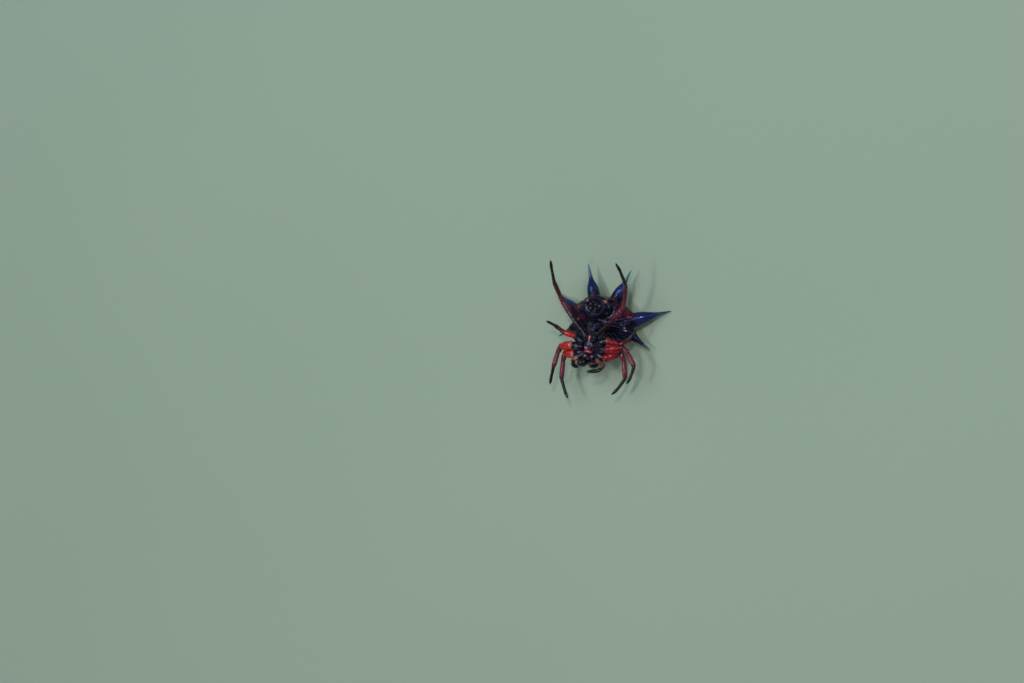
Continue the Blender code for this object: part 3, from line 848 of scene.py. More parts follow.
@dataclass
class Abdomen:
    """The hard abdomen: a flat back, a wide rim, six spines and a mound round the spinnerets."""

    outline: tuple = ((0.0, 2.25), (1.6, 2.2), (2.9, 1.45), (4.15, 0.65), (4.5, -0.4), (4.45, -1.4),
                      (4.75, -2.2), (4.3, -2.9), (2.8, -3.3), (0.0, -3.1))
    rim_middle_y: float = -0.4
    rim_level: float = 2.1
    rim_dip: float = 0.4
    rim_dip_reach: tuple = (-0.2, 2.6)
    rim_half_thickness: float = 0.55
    back_depth: float = 1.85
    back_middle_y: float = -1.0
    venter_rise: float = 0.95
    venter_middle_y: float = 0.65
    mound_middle_y: float = 0.85
    mound_lean: float = 0.08
    mound_radii: tuple = (1.72, 1.22)
    mound_profile: tuple = ((0.0, 2.6), (1.15, 2.6), (1.18, 3.5), (1.16, 3.8), (1.09, 3.98), (0.98, 4.1),
                            (0.93, 4.28), (0.94, 4.46), (0.91, 4.56), (0.84, 4.63), (0.76, 4.64), (0.69, 4.62),
                            (0.61, 4.58), (0.52, 4.5), (0.0, 4.48))
    swelling_y: float = -1.85
    swelling_radii: tuple = (0.95, 0.85)
    swelling_rise: float = 1.45
    fold_depth: float = 0.1
    fold_pitch: float = 0.8
    fold_reach: float = 1.6
    skin_grain: float = 0.058
    # The relief: how many folds there are round the body, or how far apart they lie, and how deep they are.
    pleat_count: float = 38.0
    pleat_depth: float = 0.045
    cross_fold_pitch: float = 0.27
    cross_fold_depth: float = 0.02
    cross_fold_reach: float = 1.9
    wrinkle_count: float = 17.0
    wrinkle_pitch: float = 0.16
    wrinkle_depth: float = 0.014
    ring_fold_pitch: float = 0.27
    ring_fold_depth: float = 0.05
    lump_depth: float = 0.05
    pebble_size: float = 0.3
    pebble_depth: float = 0.01
    small_pebble_size: float = 0.17
    spine_pebble_depth: float = 0.006
    pit_depth: float = 0.07
    spot_rise: float = 0.03
    hair: HairStyle = HairStyle((0.06, 0.15), 0.007, 0.7, 0.2)
    spines: tuple = (
        Spine((1.38, 1.45, 2.1), {side: (3.15, 5.95, 1.75) for side in Side},
              ((0.0, 0.82), (0.2, 0.78), (0.36, 0.7), (0.47, 0.53), (0.56, 0.34), (0.66, 0.24), (0.8, 0.16),
               (0.92, 0.09), (1.0, 0.03))),
        Spine((3.45, -0.6, 2.05), {Side.LEFT: (8.2, 1.95, 0.12), Side.RIGHT: (8.5, 1.42, 0.12)},
              ((0.0, 1.0), (0.18, 0.92), (0.32, 0.84), (0.44, 0.7), (0.55, 0.51), (0.66, 0.31), (0.8, 0.18),
               (0.92, 0.1), (1.0, 0.03)), 0.35, 1.0, 0.55),
        Spine((3.82, -2.03, 1.82), {Side.LEFT: (6.7, -3.65, 1.2), Side.RIGHT: (6.76, -3.67, 1.2)},
              ((0.0, 0.72), (0.2, 0.6), (0.33, 0.43), (0.45, 0.31), (0.58, 0.22), (0.78, 0.13), (1.0, 0.03)),
              0.0, 0.2, 0.4),
    )
    needle_start: float = 0.5
    # The salmon spots of the underside: place before it is set on the skin, radius, and how light it is.
    spots: tuple = ((1.2, 1.6, 4.1, 0.27, 0.9), (-1.0, 1.6, 4.6, 0.2, 0.7), (2.95, 1.4, 3.2, 0.15, 0.5),
                    (-3.2, 0.6, 3.3, 0.17, 0.6), (2.35, 0.2, 3.8, 0.12, 1.0), (-2.9, -0.95, 3.3, 0.16, 0.75),
                    (3.7, -1.35, 2.85, 0.17, 0.7), (-3.7, -1.35, 2.85, 0.15, 0.7), (3.55, 0.55, 2.9, 0.08, 0.6),
                    (-1.9, 2.05, 3.0, 0.1, 0.6), (1.9, -1.15, 3.5, 0.07, 0.6))
    # Where the black turns to dark crimson: place, radius and strength.
    stains: tuple = ((4.0, 0.5, 2.9, 1.2, 1.0), (3.2, -0.1, 3.2, 0.7, 0.8), (4.9, -2.6, 2.1, 0.8, 0.35),
                     (-1.2, 2.25, 2.8, 0.6, 1.0), (1.3, 2.3, 2.8, 0.5, 0.8), (2.3, 1.8, 3.1, 0.9, 0.85),
                     (-3.3, 0.7, 3.1, 1.3, 0.8), (-2.5, -0.85, 3.5, 1.1, 0.75), (-4.6, 0.6, 2.6, 1.2, 0.6))
    # The dark pits of the back, which mark where muscles hold: the row along the rim and the middle four.
    rim_pits: int = 19
    rim_pit_share: float = 0.8
    rim_pit_radius: float = 0.21
    middle_pits: tuple = ((0.75, -1.55, 0.2), (1.05, 0.05, 0.24))

    def rim(self) -> tuple[np.ndarray, np.ndarray]:
        """The rim's distance from its middle, as angles and radii."""
        left = [(-x, y) for x, y in reversed(self.outline[1:-1])]
        line = smooth_through([(x, y, 0.0) for x, y in (*self.outline, *left)], 10, closed=True)
        line[:, 1] -= self.rim_middle_y
        angles = np.arctan2(line[:, 1], line[:, 0])
        order = np.argsort(angles)
        return angles[order], np.hypot(line[:, 0], line[:, 1])[order]

    def polar(self, places: np.ndarray) -> tuple[np.ndarray, np.ndarray]:
        """The angle of each place round the rim's middle, and the part of the way out to the rim."""
        angles, radii = self.rim()
        x, y = places[:, 0], places[:, 1] - self.rim_middle_y
        turn = np.arctan2(y, x)
        return turn, np.hypot(x, y) / np.interp(turn, angles, radii, period=2.0 * np.pi)

    def edge_level(self, y: np.ndarray, share: np.ndarray) -> np.ndarray:
        """The level that the two faces close on, lower at the front of the rim."""
        return self.rim_level - self.rim_dip * smoothstep(*self.rim_dip_reach, -y) * share**2

    def underside(self, x: np.ndarray, y: np.ndarray, share: np.ndarray) -> np.ndarray:
        """The underside's height.

        Args:
            x: Places across.
            y: Places along.
            share: The part of the way from the middle out to the rim.

        Returns:
            Heights in millimetres.
        """
        height = self.edge_level(y, share) + self.rim_half_thickness * np.sqrt(1.0 - share**6)
        height = height + self.venter_rise * (1.0 - share**2)
        swelling = np.hypot(x / self.swelling_radii[0], (y - self.swelling_y) / self.swelling_radii[1])
        height = height + self.swelling_rise * np.exp(-swelling**2) * (1.0 - share**8)
        zone = np.exp(-((x / self.fold_reach) ** 2)) * (1.0 - share**4)
        return height - self.fold_depth * zone * np.cos(2.0 * np.pi * (y - self.mound_middle_y) / self.fold_pitch)

    def add_body(self, bm: bmesh.types.BMesh) -> None:
        """Draws a ball out to the rim, the underside and the flat back."""
        angles, radii = self.rim()
        verts = bmesh.ops.create_uvsphere(bm, u_segments=192, v_segments=96, radius=1.0)["verts"]
        ball = np.array([v.co for v in verts])
        angle = np.arctan2(ball[:, 1], ball[:, 0])
        share = (1.0 - np.abs(np.arcsin(np.clip(ball[:, 2], -1.0, 1.0))) / (np.pi / 2.0)) ** 0.85
        reach = np.interp(angle, angles, radii, period=2.0 * np.pi) * share
        under = ball[:, 2] > 0.0
        middle_y = np.where(under, self.venter_middle_y, self.back_middle_y)
        middle_y = self.rim_middle_y + (middle_y - self.rim_middle_y) * (1.0 - share**2)
        x = reach * np.cos(angle)
        y = middle_y + reach * np.sin(angle)
        low = self.edge_level(y, share) - self.rim_half_thickness * np.sqrt(1.0 - share**6)
        low = np.maximum(low - self.back_depth * (1.0 - share**3) ** 0.75, 0.0)
        z = np.where(under, self.underside(x, y, share), low)
        for vert, place in zip(verts, np.stack([x, y, z], axis=1)):
            vert.co = place

    def mound_middle(self, z: Any) -> Any:
        """Where the mound's middle lies along the body, further to the rear higher up."""
        return self.mound_middle_y + self.mound_lean * smoothstep(3.2, 4.5, z)

    def add_mound(self, bm: bmesh.types.BMesh) -> None:
        """Turns the mound and its crater from their profile, and draws them out sideways."""
        turned = bmesh.new()
        line = smooth_through([(r, 0.0, z) for r, z in self.mound_profile], 5)
        knots = [turned.verts.new(p) for p in line]
        edges = [turned.edges.new(pair) for pair in zip(knots, knots[1:])]
        bmesh.ops.spin(turned, geom=knots + edges, cent=(0.0, 0.0, 0.0), axis=(0.0, 0.0, 1.0),
                       angle=2.0 * math.pi, steps=96, use_merge=True)
        bmesh.ops.remove_doubles(turned, verts=turned.verts, dist=0.0001)
        for vert in turned.verts:
            vert.co.x *= self.mound_radii[0]
            vert.co.y = vert.co.y * self.mound_radii[1] + self.mound_middle(vert.co.z)
        add_mesh(bm, turned)

    def needle_field(self, places: np.ndarray) -> tuple[np.ndarray, np.ndarray, np.ndarray, np.ndarray]:
        """Shapes the needles, which the melted skin leaves blunt.

        Args:
            places: The skin's corners.

        Returns:
            The corners with the needles drawn sharp, and for each corner the share of the way to the tip
            of the spine that it lies on, or 0, how near it is to that spine's middle line, in radii, and
            which spine that is.
        """
        places = places.copy()
        shares = np.zeros(len(places))
        nearness = np.full(len(places), 9.0)
        which = np.zeros(len(places), int)
        for number, spine in enumerate(self.spines):
            for side in Side:
                t, line, radii = spine.axis(side)
                near = np.flatnonzero(np.abs(places - line.mean(0)).max(1) < 4.0)
                gaps = np.linalg.norm(places[near, None] - line[None], axis=2)
                step = gaps.argmin(1)
                close = gaps[np.arange(len(near)), step] / radii[step]
                on = close < 1.35
                near, step, close = near[on], step[on], close[on]
                better = close < nearness[near]
                near, step, close = near[better], step[better], close[better]
                nearness[near] = close
                shares[near] = t[step]
                which[near] = number
                weight = smoothstep(self.needle_start, self.needle_start + 0.1, t[step])[:, None]
                last = t[step].max()
                drawn = np.where(t[step] > 0.75, 0.75 + (t[step] - 0.75) * 0.25 / (last - 0.75), t[step])
                middle = np.stack([np.interp(drawn, t, line[:, i]) for i in range(3)], axis=1)
                spoke = places[near] - line[step]
                size = np.minimum(np.linalg.norm(spoke, axis=1), np.interp(drawn, t, radii))
                size = np.where(drawn > 0.98, size, np.interp(drawn, t, radii))
                sharp = middle + unit(spoke) * size[:, None]
                places[near] = places[near] * (1.0 - weight) + sharp * weight
        return places, shares, nearness, which

    def pits(self) -> list[tuple[float, float, float]]:
        """The pits of the back: place and radius of each."""
        angles, radii = self.rim()
        found = []
        for turn in np.linspace(0.0, 2.0 * np.pi, self.rim_pits, endpoint=False) + np.pi / 2.0:
            turn = math.atan2(math.sin(turn), math.cos(turn))
            reach = self.rim_pit_share * float(np.interp(turn, angles, radii, period=2.0 * np.pi))
            found.append((reach * math.cos(turn), self.rim_middle_y + reach * math.sin(turn), self.rim_pit_radius))
        for x, y, radius in self.middle_pits:
            found += [(x, y, radius), (-x, y, radius)]
        return found

    def build(self) -> bpy.types.Mesh:
        """Makes the skin with its relief and its markings, in millimetres."""
        bm = bmesh.new()
        self.add_body(bm)
        self.add_mound(bm)
        for spine in self.spines:
            for side in Side:
                _, line, radii = spine.axis(side)
                grown = bmesh.new()
                add_tube(grown, line, radii, sides=40)
                add_mesh(bm, grown)
        mesh = one_skin("abdomen_skin", bm, self.skin_grain, 3)
        places, along, nearness, which = self.needle_field(corner_table(mesh))
        set_corners(mesh, places)
        return self.carve(mesh, along, nearness, which)

    def carve(self, mesh: bpy.types.Mesh, along: np.ndarray, nearness: np.ndarray,
              which: np.ndarray) -> bpy.types.Mesh:
        """Adds the relief and the markings.

        Args:
            mesh: The plain skin.
            along: The share of the way to the tip of the spine that each corner lies on.
            nearness: How near it is to that spine's middle line.
            which: The number of that spine.

        Returns:
            The same mesh.
        """
        places = corner_table(mesh)
        normals = corner_table(mesh, "normal")
        x, y, z = places.T
        turn, share = self.polar(places)
        on_spine = smoothstep(1.3, 1.05, nearness) * smoothstep(0.05, 0.3, along)
        level = self.edge_level(y, np.minimum(share, 1.0))
        under = smoothstep(level - 0.1, level + 0.35, z)
        back = smoothstep(level - 0.25, level - 0.5, z) * (1.0 - on_spine)
        mound = np.hypot(x / self.mound_radii[0], (y - self.mound_middle(z)) / self.mound_radii[1])
        flank = under * smoothstep(1.15, 1.5, mound) * (1.0 - on_spine)
        wander = roughness_field(places, 0.8, 3.0)
        pleats = np.cos(turn * self.pleat_count + wander * 2.5)
        pleats *= smoothstep(0.5, 0.72, share) * smoothstep(1.1, 0.95, share)
        cross_folds = waves(y + 0.12 * wander, self.cross_fold_pitch) * np.exp(-((x / self.cross_fold_reach) ** 2))
        around = np.arctan2(x / self.mound_radii[0], (y - self.mound_middle_y) / self.mound_radii[1])
        wrinkles = 1.1 * np.cos(around * self.wrinkle_count + wander * 5.0)
        wrinkles += waves(mound + 0.12 * wander, self.wrinkle_pitch)
        ring_folds = waves(mound + 0.1 * wander, self.ring_fold_pitch) * smoothstep(2.1, 1.5, mound)
        ring_folds *= smoothstep(-0.2, 0.7, y)
        wall = smoothstep(1.3, 1.1, mound) * smoothstep(0.6, 0.75, mound) * under
        pebbles = pebble_field(places, self.pebble_size, 1.0) * smoothstep(0.35, 0.7, share)
        small_pebbles = pebble_field(places, self.small_pebble_size, 5.0)
        needle = smoothstep(self.needle_start - 0.05, self.needle_start + 0.12, along) * on_spine
        height = flank * (self.pleat_depth * pleats + self.cross_fold_depth * cross_folds
                          + self.ring_fold_depth * ring_folds + self.pebble_depth * pebbles)
        height += wall * (self.wrinkle_depth * wrinkles + self.lump_depth * roughness_field(places, 0.4, 9.0))
        height += self.lump_depth * wander * (flank + wall)
        height += small_pebbles * (self.spine_pebble_depth * on_spine * (1.0 - needle) + self.pebble_depth * back)
        pit = np.zeros(len(places))
        for pit_x, pit_y, radius in self.pits():
            gap = np.hypot(x - pit_x, (y - pit_y) * 1.25) / radius
            pit = np.maximum(pit, smoothstep(1.25, 0.75, gap))
        pit *= back * smoothstep(level - 0.3, level - 0.8, z)
        height -= self.pit_depth * pit
        spot = np.zeros(len(places))
        for *place, radius, strength in self.spots:
            middle = places[np.linalg.norm(places - place, axis=1).argmin()]
            gap = np.linalg.norm(places - middle, axis=1) / radius
            spot = np.maximum(spot, strength * smoothstep(1.35, 0.7, gap))
        spot *= under * (1.0 - needle)
        height += self.spot_rise * spot
        places = places + normals * height[:, None]
        places[:, 2] = np.maximum(places[:, 2], 0.0)
        set_corners(mesh, places)
        sheen = np.array([spine.sheen for spine in self.spines])[which]
        tone = np.array([spine.tone for spine in self.spines])[which]
        rim = np.exp(-(((z - level) / 0.45) ** 2)) * smoothstep(0.82, 0.98, share)
        red = 0.35 * rim * (0.7 + 0.8 * wander)
        for *place, radius, strength in self.stains:
            gap = np.linalg.norm(places - place, axis=1) / radius
            red = np.maximum(red, strength * smoothstep(1.0, 0.25, gap) * (0.85 + 0.6 * wander))
        marks = {"plate": back, "pit": pit, "spot": spot, "red": np.clip(red, 0.0, 1.0),
                 "blue": sheen * on_spine * smoothstep(0.08, 0.42, along),
                 "needle": tone * smoothstep(0.52, 0.8, along) * on_spine}
        for name, values in marks.items():
            set_marks(mesh, name, values)
        return mesh

    def hairs(self, mesh: bpy.types.Mesh) -> Coat:
        """Sparse short hairs on the underside and the roots of the spines."""
        places = corner_table(mesh)
        turn, share = self.polar(places)
        chance = smoothstep(1.6, 2.6, places[:, 2]) * smoothstep(1.6, 1.1, share)
        outward = np.stack([np.cos(turn), np.sin(turn), np.zeros(len(turn))], axis=1)
        flat = np.stack([turn / (2.0 * np.pi) + 0.5, np.clip(share / 3.0, 0.0, 1.0)], axis=1)
        return hairs_on_skin(mesh, chance, outward * 0.55, flat, 420, 11, self.hair)


@dataclass
class Spinnerets:
    """The cluster in the mound's crater: three pairs of cones and the lobe behind them."""

    floor: float = 4.2
    middle_y: float = 0.92
    base_radius: float = 1.06
    base_flatness: float = 0.78
    base_top: float = 4.7
    # Right side cones: place, height above the base, radius.
    cones: tuple = ((0.4, 0.3, 0.42, 0.34), (0.17, 0.02, 0.3, 0.14), (0.38, -0.26, 0.38, 0.31))
    lobe: tuple = (0.0, 0.56, 4.7, 0.2)
    hair: HairStyle = HairStyle((0.06, 0.14), 0.007, 0.6)

    def build(self) -> bpy.types.Object:
        """The cluster as one piece."""
        bm = bmesh.new()
        middle = np.array([0.0, self.middle_y, 0.0])
        rise = np.linspace(0.0, 1.0, 16)
        line = middle + np.outer(self.floor + (self.base_top - self.floor) * rise, (0.0, 0.0, 1.0))
        girth = self.base_radius * (1.0 - 0.3 * rise**3) * (1.0 + 0.03 * np.cos(rise * 30.0))
        add_tube(bm, line, girth, sides=56, flatness=self.base_flatness)
        x, y, z, radius = self.lobe
        add_ball(bm, middle + (x, y, z), (radius * 1.2, radius, radius * 1.3), None, 20, 14)
        coat = Coat()
        for side in Side:
            for i, (x, y, tall, radius) in enumerate(self.cones):
                foot = middle + side.place((x, y, self.base_top - 0.12))
                tip = foot + np.array([-0.35 * foot[0], -0.35 * (foot[1] - self.middle_y), tall])
                steps = np.linspace(0.0, 1.0, 22)
                line = between(foot, tip, steps)
                joint = 1.0 - 0.16 * np.exp(-(((steps - 0.68) / 0.04) ** 2))
                girth = radius * (1.0 - 0.45 * steps**2) * joint * np.sqrt(np.clip(1.04 - steps**8, 0.0, 1.0))
                frames = add_tube(bm, line, girth, sides=20)
                hairs_on_tube(coat, frames, steps, 70, 20 + i + 5 * side.value, self.hair, (0.3, 1.0))
        coat.grow("spinneret_hair", SMOKY_SETA, Slot.BLACK_SHELL)
        return new_piece("spinnerets_skin", bm, BLACK_SHELL, ("spinnerets",))


@dataclass
class Venter:
    """The small plates of the underside between the waist and the mound."""

    epigyne: tuple = (0.0, -2.02, 4.3)
    epigyne_radii: tuple = (0.34, 0.2, 0.16)
    lung_plate: tuple = (0.62, -2.3, 3.72)
    lung_radii: tuple = (0.36, 0.26, 0.12)

    def build_epigyne(self) -> bpy.types.Object:
        """The raised female plate with its short tongue."""
        bm = bmesh.new()
        add_ball(bm, np.array(self.epigyne), self.epigyne_radii, None, 40, 24)
        x, y, z = self.epigyne
        line = smooth_through([(x, y + 0.02, z + 0.08), (x, y + 0.1, z + 0.2), (x, y + 0.24, z + 0.2)], 8)
        add_tube(bm, line, np.linspace(0.09, 0.04, len(line)), sides=16, flatness=0.6)
        return new_piece("epigyne", bm, VIOLET_SHELL)

    def build_lung_plate(self, side: Side) -> bpy.types.Object:
        """One book lung's cover."""
        bm = bmesh.new()
        tilt = Matrix.Rotation(math.radians(28.0 * side.value), 4, "Y")
        verts = add_ball(bm, side.place(self.lung_plate), self.lung_radii, tilt, 40, 24)
        for vert in verts:
            ripple = math.cos((vert.co.y - self.lung_plate[1]) * 2.0 * math.pi / 0.09)
            vert.co.z += 0.008 * ripple
        return new_piece(f"lung_plate_{side.word}", bm, BLACK_SHELL)


@dataclass
class FrontBody:
    """Head and chest: the shield, the sternum, the hips, the lip and jaws' feelers' roots, and the waist."""

    carapace_middle: tuple = (0.0, -4.6, 3.35)
    carapace_radii: tuple = (1.55, 1.6, 0.85)
    carapace_under: float = 0.4
    head_lift: float = 0.2
    head_narrowing: float = 0.3
    # The shield's grains, the furrow behind the head and the pit in the middle.
    grain_size: float = 0.16
    grain_rise: float = 0.02
    neck_depth: float = 0.07
    pit_depth: float = 0.12
    carapace_hair: HairStyle = HairStyle((0.12, 0.28), 0.01, 0.55, 0.18)
    coxa_hair: HairStyle = HairStyle((0.08, 0.18), 0.008, 0.35)
    chest_middle: tuple = (0.0, -4.1, 3.95)
    chest_radii: tuple = (1.3, 1.2, 0.65)
    # How far to the left the plates between the hips lie.
    lean: float = 0.13
    sternum_middle: tuple = (-0.13, -3.82, 4.52)
    sternum_radii: tuple = (0.8, 0.86, 0.44)
    # The raised front of the sternum, painted pale pink as a painted highlight.
    sternum_painted_sheen: tuple = ((-0.34, -4.27, 4.79), (0.32, 0.24, 0.13))
    # The rose mark on the sternum's rear point: middle and radii of its crimson bed and of its pink core.
    mark_bed: tuple = ((0.0, -3.06, 4.72), (0.32, 0.44, 0.2))
    mark_core: tuple = ((-0.02, -3.06, 4.82), (0.13, 0.36, 0.14))
    coxa_radii: dict = field(default_factory=lambda: {1: 0.58, 2: 0.58, 3: 0.56, 4: 0.45})
    # The thickness along a hip segment, as shares of its radius.
    coxa_profile: tuple = ((0.0, 0.5), (0.07, 0.74), (0.25, 0.98), (0.48, 1.04), (0.7, 0.96), (0.86, 0.82),
                           (0.96, 0.76), (1.0, 0.66))
    coxa_inner: dict = field(default_factory=lambda: {
        1: (0.75, -4.85, 4.3), 2: (0.85, -4.35, 4.35), 3: (0.8, -3.85, 4.35), 4: (0.45, -3.45, 4.4)})
    coxa_outer: dict = field(default_factory=lambda: {
        1: (2.2, -5.3, 4.45), 2: (2.5, -4.22, 4.78), 3: (2.25, -3.1, 4.42), 4: (0.8, -2.6, 4.8)})
    labium_middle: tuple = (-0.09, -4.74, 4.7)
    labium_radii: tuple = (0.72, 0.29, 0.29)
    labium_core: tuple = (0.5, 0.13, 0.3)
    endite_middle: tuple = (0.5, -5.34, 4.56)
    endite_radii: tuple = (0.5, 0.47, 0.4)
    brush_count: int = 160
    palp_hip: tuple = ((0.8, -5.05, 4.4), (1.45, -5.58, 4.8))
    palp_hip_radii: tuple = (0.36, 0.26)
    pedicel_radius: float = 0.33
    pedicel_level: float = 3.6
    pedicel_span: tuple = (-3.75, -2.6)
    pedicel_folds: float = 8.0
    # Right side eyes: place before it is set on the shield, and radius.
    eyes: tuple = ((0.26, -6.05, 2.95, 0.12), (0.27, -5.75, 2.6, 0.11), (0.95, -5.78, 3.2, 0.095),
                   (1.05, -5.48, 3.0, 0.095))

    def carapace(self) -> bpy.types.Mesh:
        """The shield, in millimetres, with its furrows, lumps for the eyes and grains."""
        bm = bmesh.new()
        turn = Matrix.Rotation(math.radians(90.0), 4, "X")
        verts = bmesh.ops.create_uvsphere(bm, u_segments=128, v_segments=96, radius=1.0, matrix=turn)["verts"]
        x, y, z = np.array([v.co for v in verts]).T
        head = smoothstep(0.1, 0.9, -y)
        square = 1.0 + 0.25 * np.sqrt(np.clip(1.0 - np.abs(y), 0.0, 1.0)) * smoothstep(0.3, 0.9, np.abs(y))
        thick = np.where(z > 0.0, self.carapace_under, self.carapace_radii[2] + self.head_lift * head)
        wide = x * square * (1.0 - self.head_narrowing * head) * self.carapace_radii[0]
        places = np.stack([wide + self.carapace_middle[0], y * self.carapace_radii[1] + self.carapace_middle[1],
                           z * square * thick + self.carapace_middle[2]], axis=1)
        outs = unit(places - np.array(self.carapace_middle))
        above = smoothstep(0.0, -0.4, z)
        neck = np.exp(-(((np.abs(wide) - 0.25 - 0.9 * (0.25 - y)) / 0.16) ** 2)) * smoothstep(-0.45, -0.1, y)
        neck = neck * smoothstep(0.45, 0.2, y) * above
        pit = np.exp(-((wide / 0.12) ** 2 + ((y - 0.3) / 0.16) ** 2)) * above
        spokes = np.cos(np.arctan2(wide, (y - 0.25) * 1.6) * 10.0) * smoothstep(0.0, 0.35, y) * above
        grains = pebble_field(places, self.grain_size, 2.0) * above
        height = self.grain_rise * (grains + spokes) - self.neck_depth * neck - self.pit_depth * pit
        for eye_x, eye_y, eye_z, radius in self.eyes:
            for side in Side:
                gap = np.linalg.norm(places - side.place((eye_x, eye_y, eye_z)), axis=1)
                height += 0.6 * radius * np.exp(-((gap / (1.7 * radius)) ** 2))
        for vert, place in zip(verts, places + outs * height[:, None]):
            vert.co = place
        return to_mesh("carapace", bm)

    def build_carapace(self) -> bpy.types.Object:
        """The shield with its white hairs and its eyes."""
        mesh = self.carapace()
        places = corner_table(mesh)
        normals = corner_table(mesh, "normal")
        for i, (x, y, z, radius) in enumerate(self.eyes):
            for side in Side:
                near = np.linalg.norm(places - side.place((x, y, z)), axis=1).argmin()
                bm = bmesh.new()
                add_ball(bm, places[near] + normals[near] * radius * 0.25, (radius,) * 3, None, 24, 16)
                new_piece(f"eye_{i + 1}_{side.word}", bm, Lens())
        above = smoothstep(3.5, 2.9, places[:, 2])
        turn = np.arctan2(places[:, 2] - self.carapace_middle[2], places[:, 0])
        flat = np.stack([turn / (2.0 * np.pi) + 0.5, (places[:, 1] + 6.3) / 3.4], axis=1)
        forward = np.array([0.0, -0.6, 0.0])
        coat = hairs_on_skin(mesh, above, forward, flat, 900, 5, self.carapace_hair)
        coat.grow("carapace_hair", PALE_SETA, Slot.BLACK_SHELL)
        return dress("carapace", mesh, CARAPACE_SHELL, ("cephalothorax",))

    def build_chest(self) -> bpy.types.Object:
        """The soft skin between the shield and the hips."""
        bm = bmesh.new()
        verts = add_ball(bm, np.array(self.chest_middle), self.chest_radii, None, 72, 40)
        for vert in verts:
            fold = noise.noise(Vector((vert.co.x * 2.0, vert.co.y * 2.0, vert.co.z * 7.0)))
            vert.co += vert.normal * 0.03 * fold
        return new_piece("chest_skin", bm, SOFT_SKIN)

    def build_sternum(self) -> bpy.types.Object:
        """The heart-shaped plate between the hips, pointed at the rear."""
        bm = bmesh.new()
        verts = add_ball(bm, np.zeros(3), (1.0, 1.0, 1.0), None, 72, 48)
        for vert in verts:
            x, y, z = vert.co
            narrow = 1.0 - 0.6 * smoothstep(-0.25, 1.0, y)
            notch = 1.0 - 0.07 * abs(math.cos(y * 5.2))
            place = Vector((x * narrow * notch, y, z))
            ripple = noise.noise(Vector((place.x * 3.0, place.y * 3.0, 1.0))) * 0.1
            place.z += ripple if z > 0.0 else 0.0
            vert.co = [p * r + m for p, r, m in zip(place, self.sternum_radii, self.sternum_middle)]
        return new_piece("sternum", bm, STERNUM_SHELL)

    def build_sternum_marks(self) -> None:
        """The raised front of the sternum, painted pale pink as a painted highlight, and the rose mark at its rear
        point, pink on a crimson bed.
        """
        lean = Matrix.Rotation(math.radians(10.0), 4, "X")
        for name, (middle, radii), finish in (("sternum_painted_sheen", self.sternum_painted_sheen, PAINTED_SHEEN_SHELL),
                                              ("sternum_mark_bed", self.mark_bed, CRIMSON_SHELL),
                                              ("sternum_mark_core", self.mark_core, ROSE_SHELL)):
            bm = bmesh.new()
            add_ball(bm, np.array(middle), radii, lean, 32, 20)
            new_piece(name, bm, finish)

    def build_coxa(self, leg: int, side: Side) -> bpy.types.Object:
        """One hip segment.

        Args:
            leg: The leg's number, from the head.
            side: Its side.

        Returns:
            The piece.
        """
        inner = side.place(self.coxa_inner[leg]) - (self.lean, 0.0, 0.0)
        outer = side.place(self.coxa_outer[leg])
        steps = np.linspace(0.0, 1.0, 48)
        length = np.linalg.norm(outer - inner)
        line = between(inner, outer, steps)
        swell = profile_at(self.coxa_profile, steps)
        rim = 1.0 + 0.07 * np.exp(-(((1.0 - steps) * length - 0.16) / 0.05) ** 2)
        bm = bmesh.new()
        frames = add_tube(bm, line, self.coxa_radii[leg] * swell * rim, sides=36)
        coat = Coat()
        hairs_on_tube(coat, frames, steps, 60, 40 + leg * 2 + side.value, self.coxa_hair, (0.15, 0.95))
        coat.grow(f"coxa_{leg}_{side.word}_hair", BLACK_SETA, Slot.BLACK_SHELL)
        return new_piece(f"coxa_{leg}_{side.word}", bm, HIP_SHELL)

    def build_labium(self) -> bpy.types.Object:
        """The lower lip, crimson with two lobes in front and a pink ridge across."""
        core = bmesh.new()
        add_ball(core, np.array(self.labium_middle) + (0.0, 0.05, 0.02), self.labium_core, None, 40, 24)
        new_piece("labium_ridge", core, ROSE_SHELL)
        bm = bmesh.new()
        verts = add_ball(bm, np.zeros(3), (1.0, 1.0, 1.0), None, 64, 40)
        for vert in verts:
            x, y, z = vert.co
            lobes = 1.0 - 0.3 * math.exp(-((x / 0.22) ** 2)) * smoothstep(0.0, 0.8, -y)
            vert.co = [p * r + m for p, r, m in zip((x, y * lobes, z), self.labium_radii, self.labium_middle)]
        return new_piece("labium", bm, CRIMSON_SHELL)

    def build_endite(self, side: Side) -> bpy.types.Object:
        """One mouth plate beside the lip, with a brush along its inner edge."""
        bm = bmesh.new()
        lean = Matrix.Rotation(math.radians(-18.0 * side.value), 4, "Z")
        add_ball(bm, side.place(self.endite_middle), self.endite_radii, lean, 40, 28)
        rng = np.random.default_rng(60 + side.value)
        count = self.brush_count
        share = rng.random(count)
        roots = side.place(self.endite_middle) + np.stack(
            [-side.value * (0.3 + 0.1 * rng.random(count)), -0.32 + 0.34 * share,
             0.14 + 0.1 * rng.random(count)], axis=1)
        outs = np.tile([-side.value * 0.8, -0.5, 0.45], (count, 1))
        ways = outs + rng.normal(0.0, 0.2, (count, 3))
        coat = Coat()
        coat.add(roots, ways, outs, rng.uniform(0.1, 0.2, count), 0.008, np.stack([share, share * 0.5], axis=1))
        coat.grow(f"endite_{side.word}_brush", AMBER_SETA, Slot.BLACK_SHELL)
        return new_piece(f"endite_{side.word}", bm, JAW_SHELL)

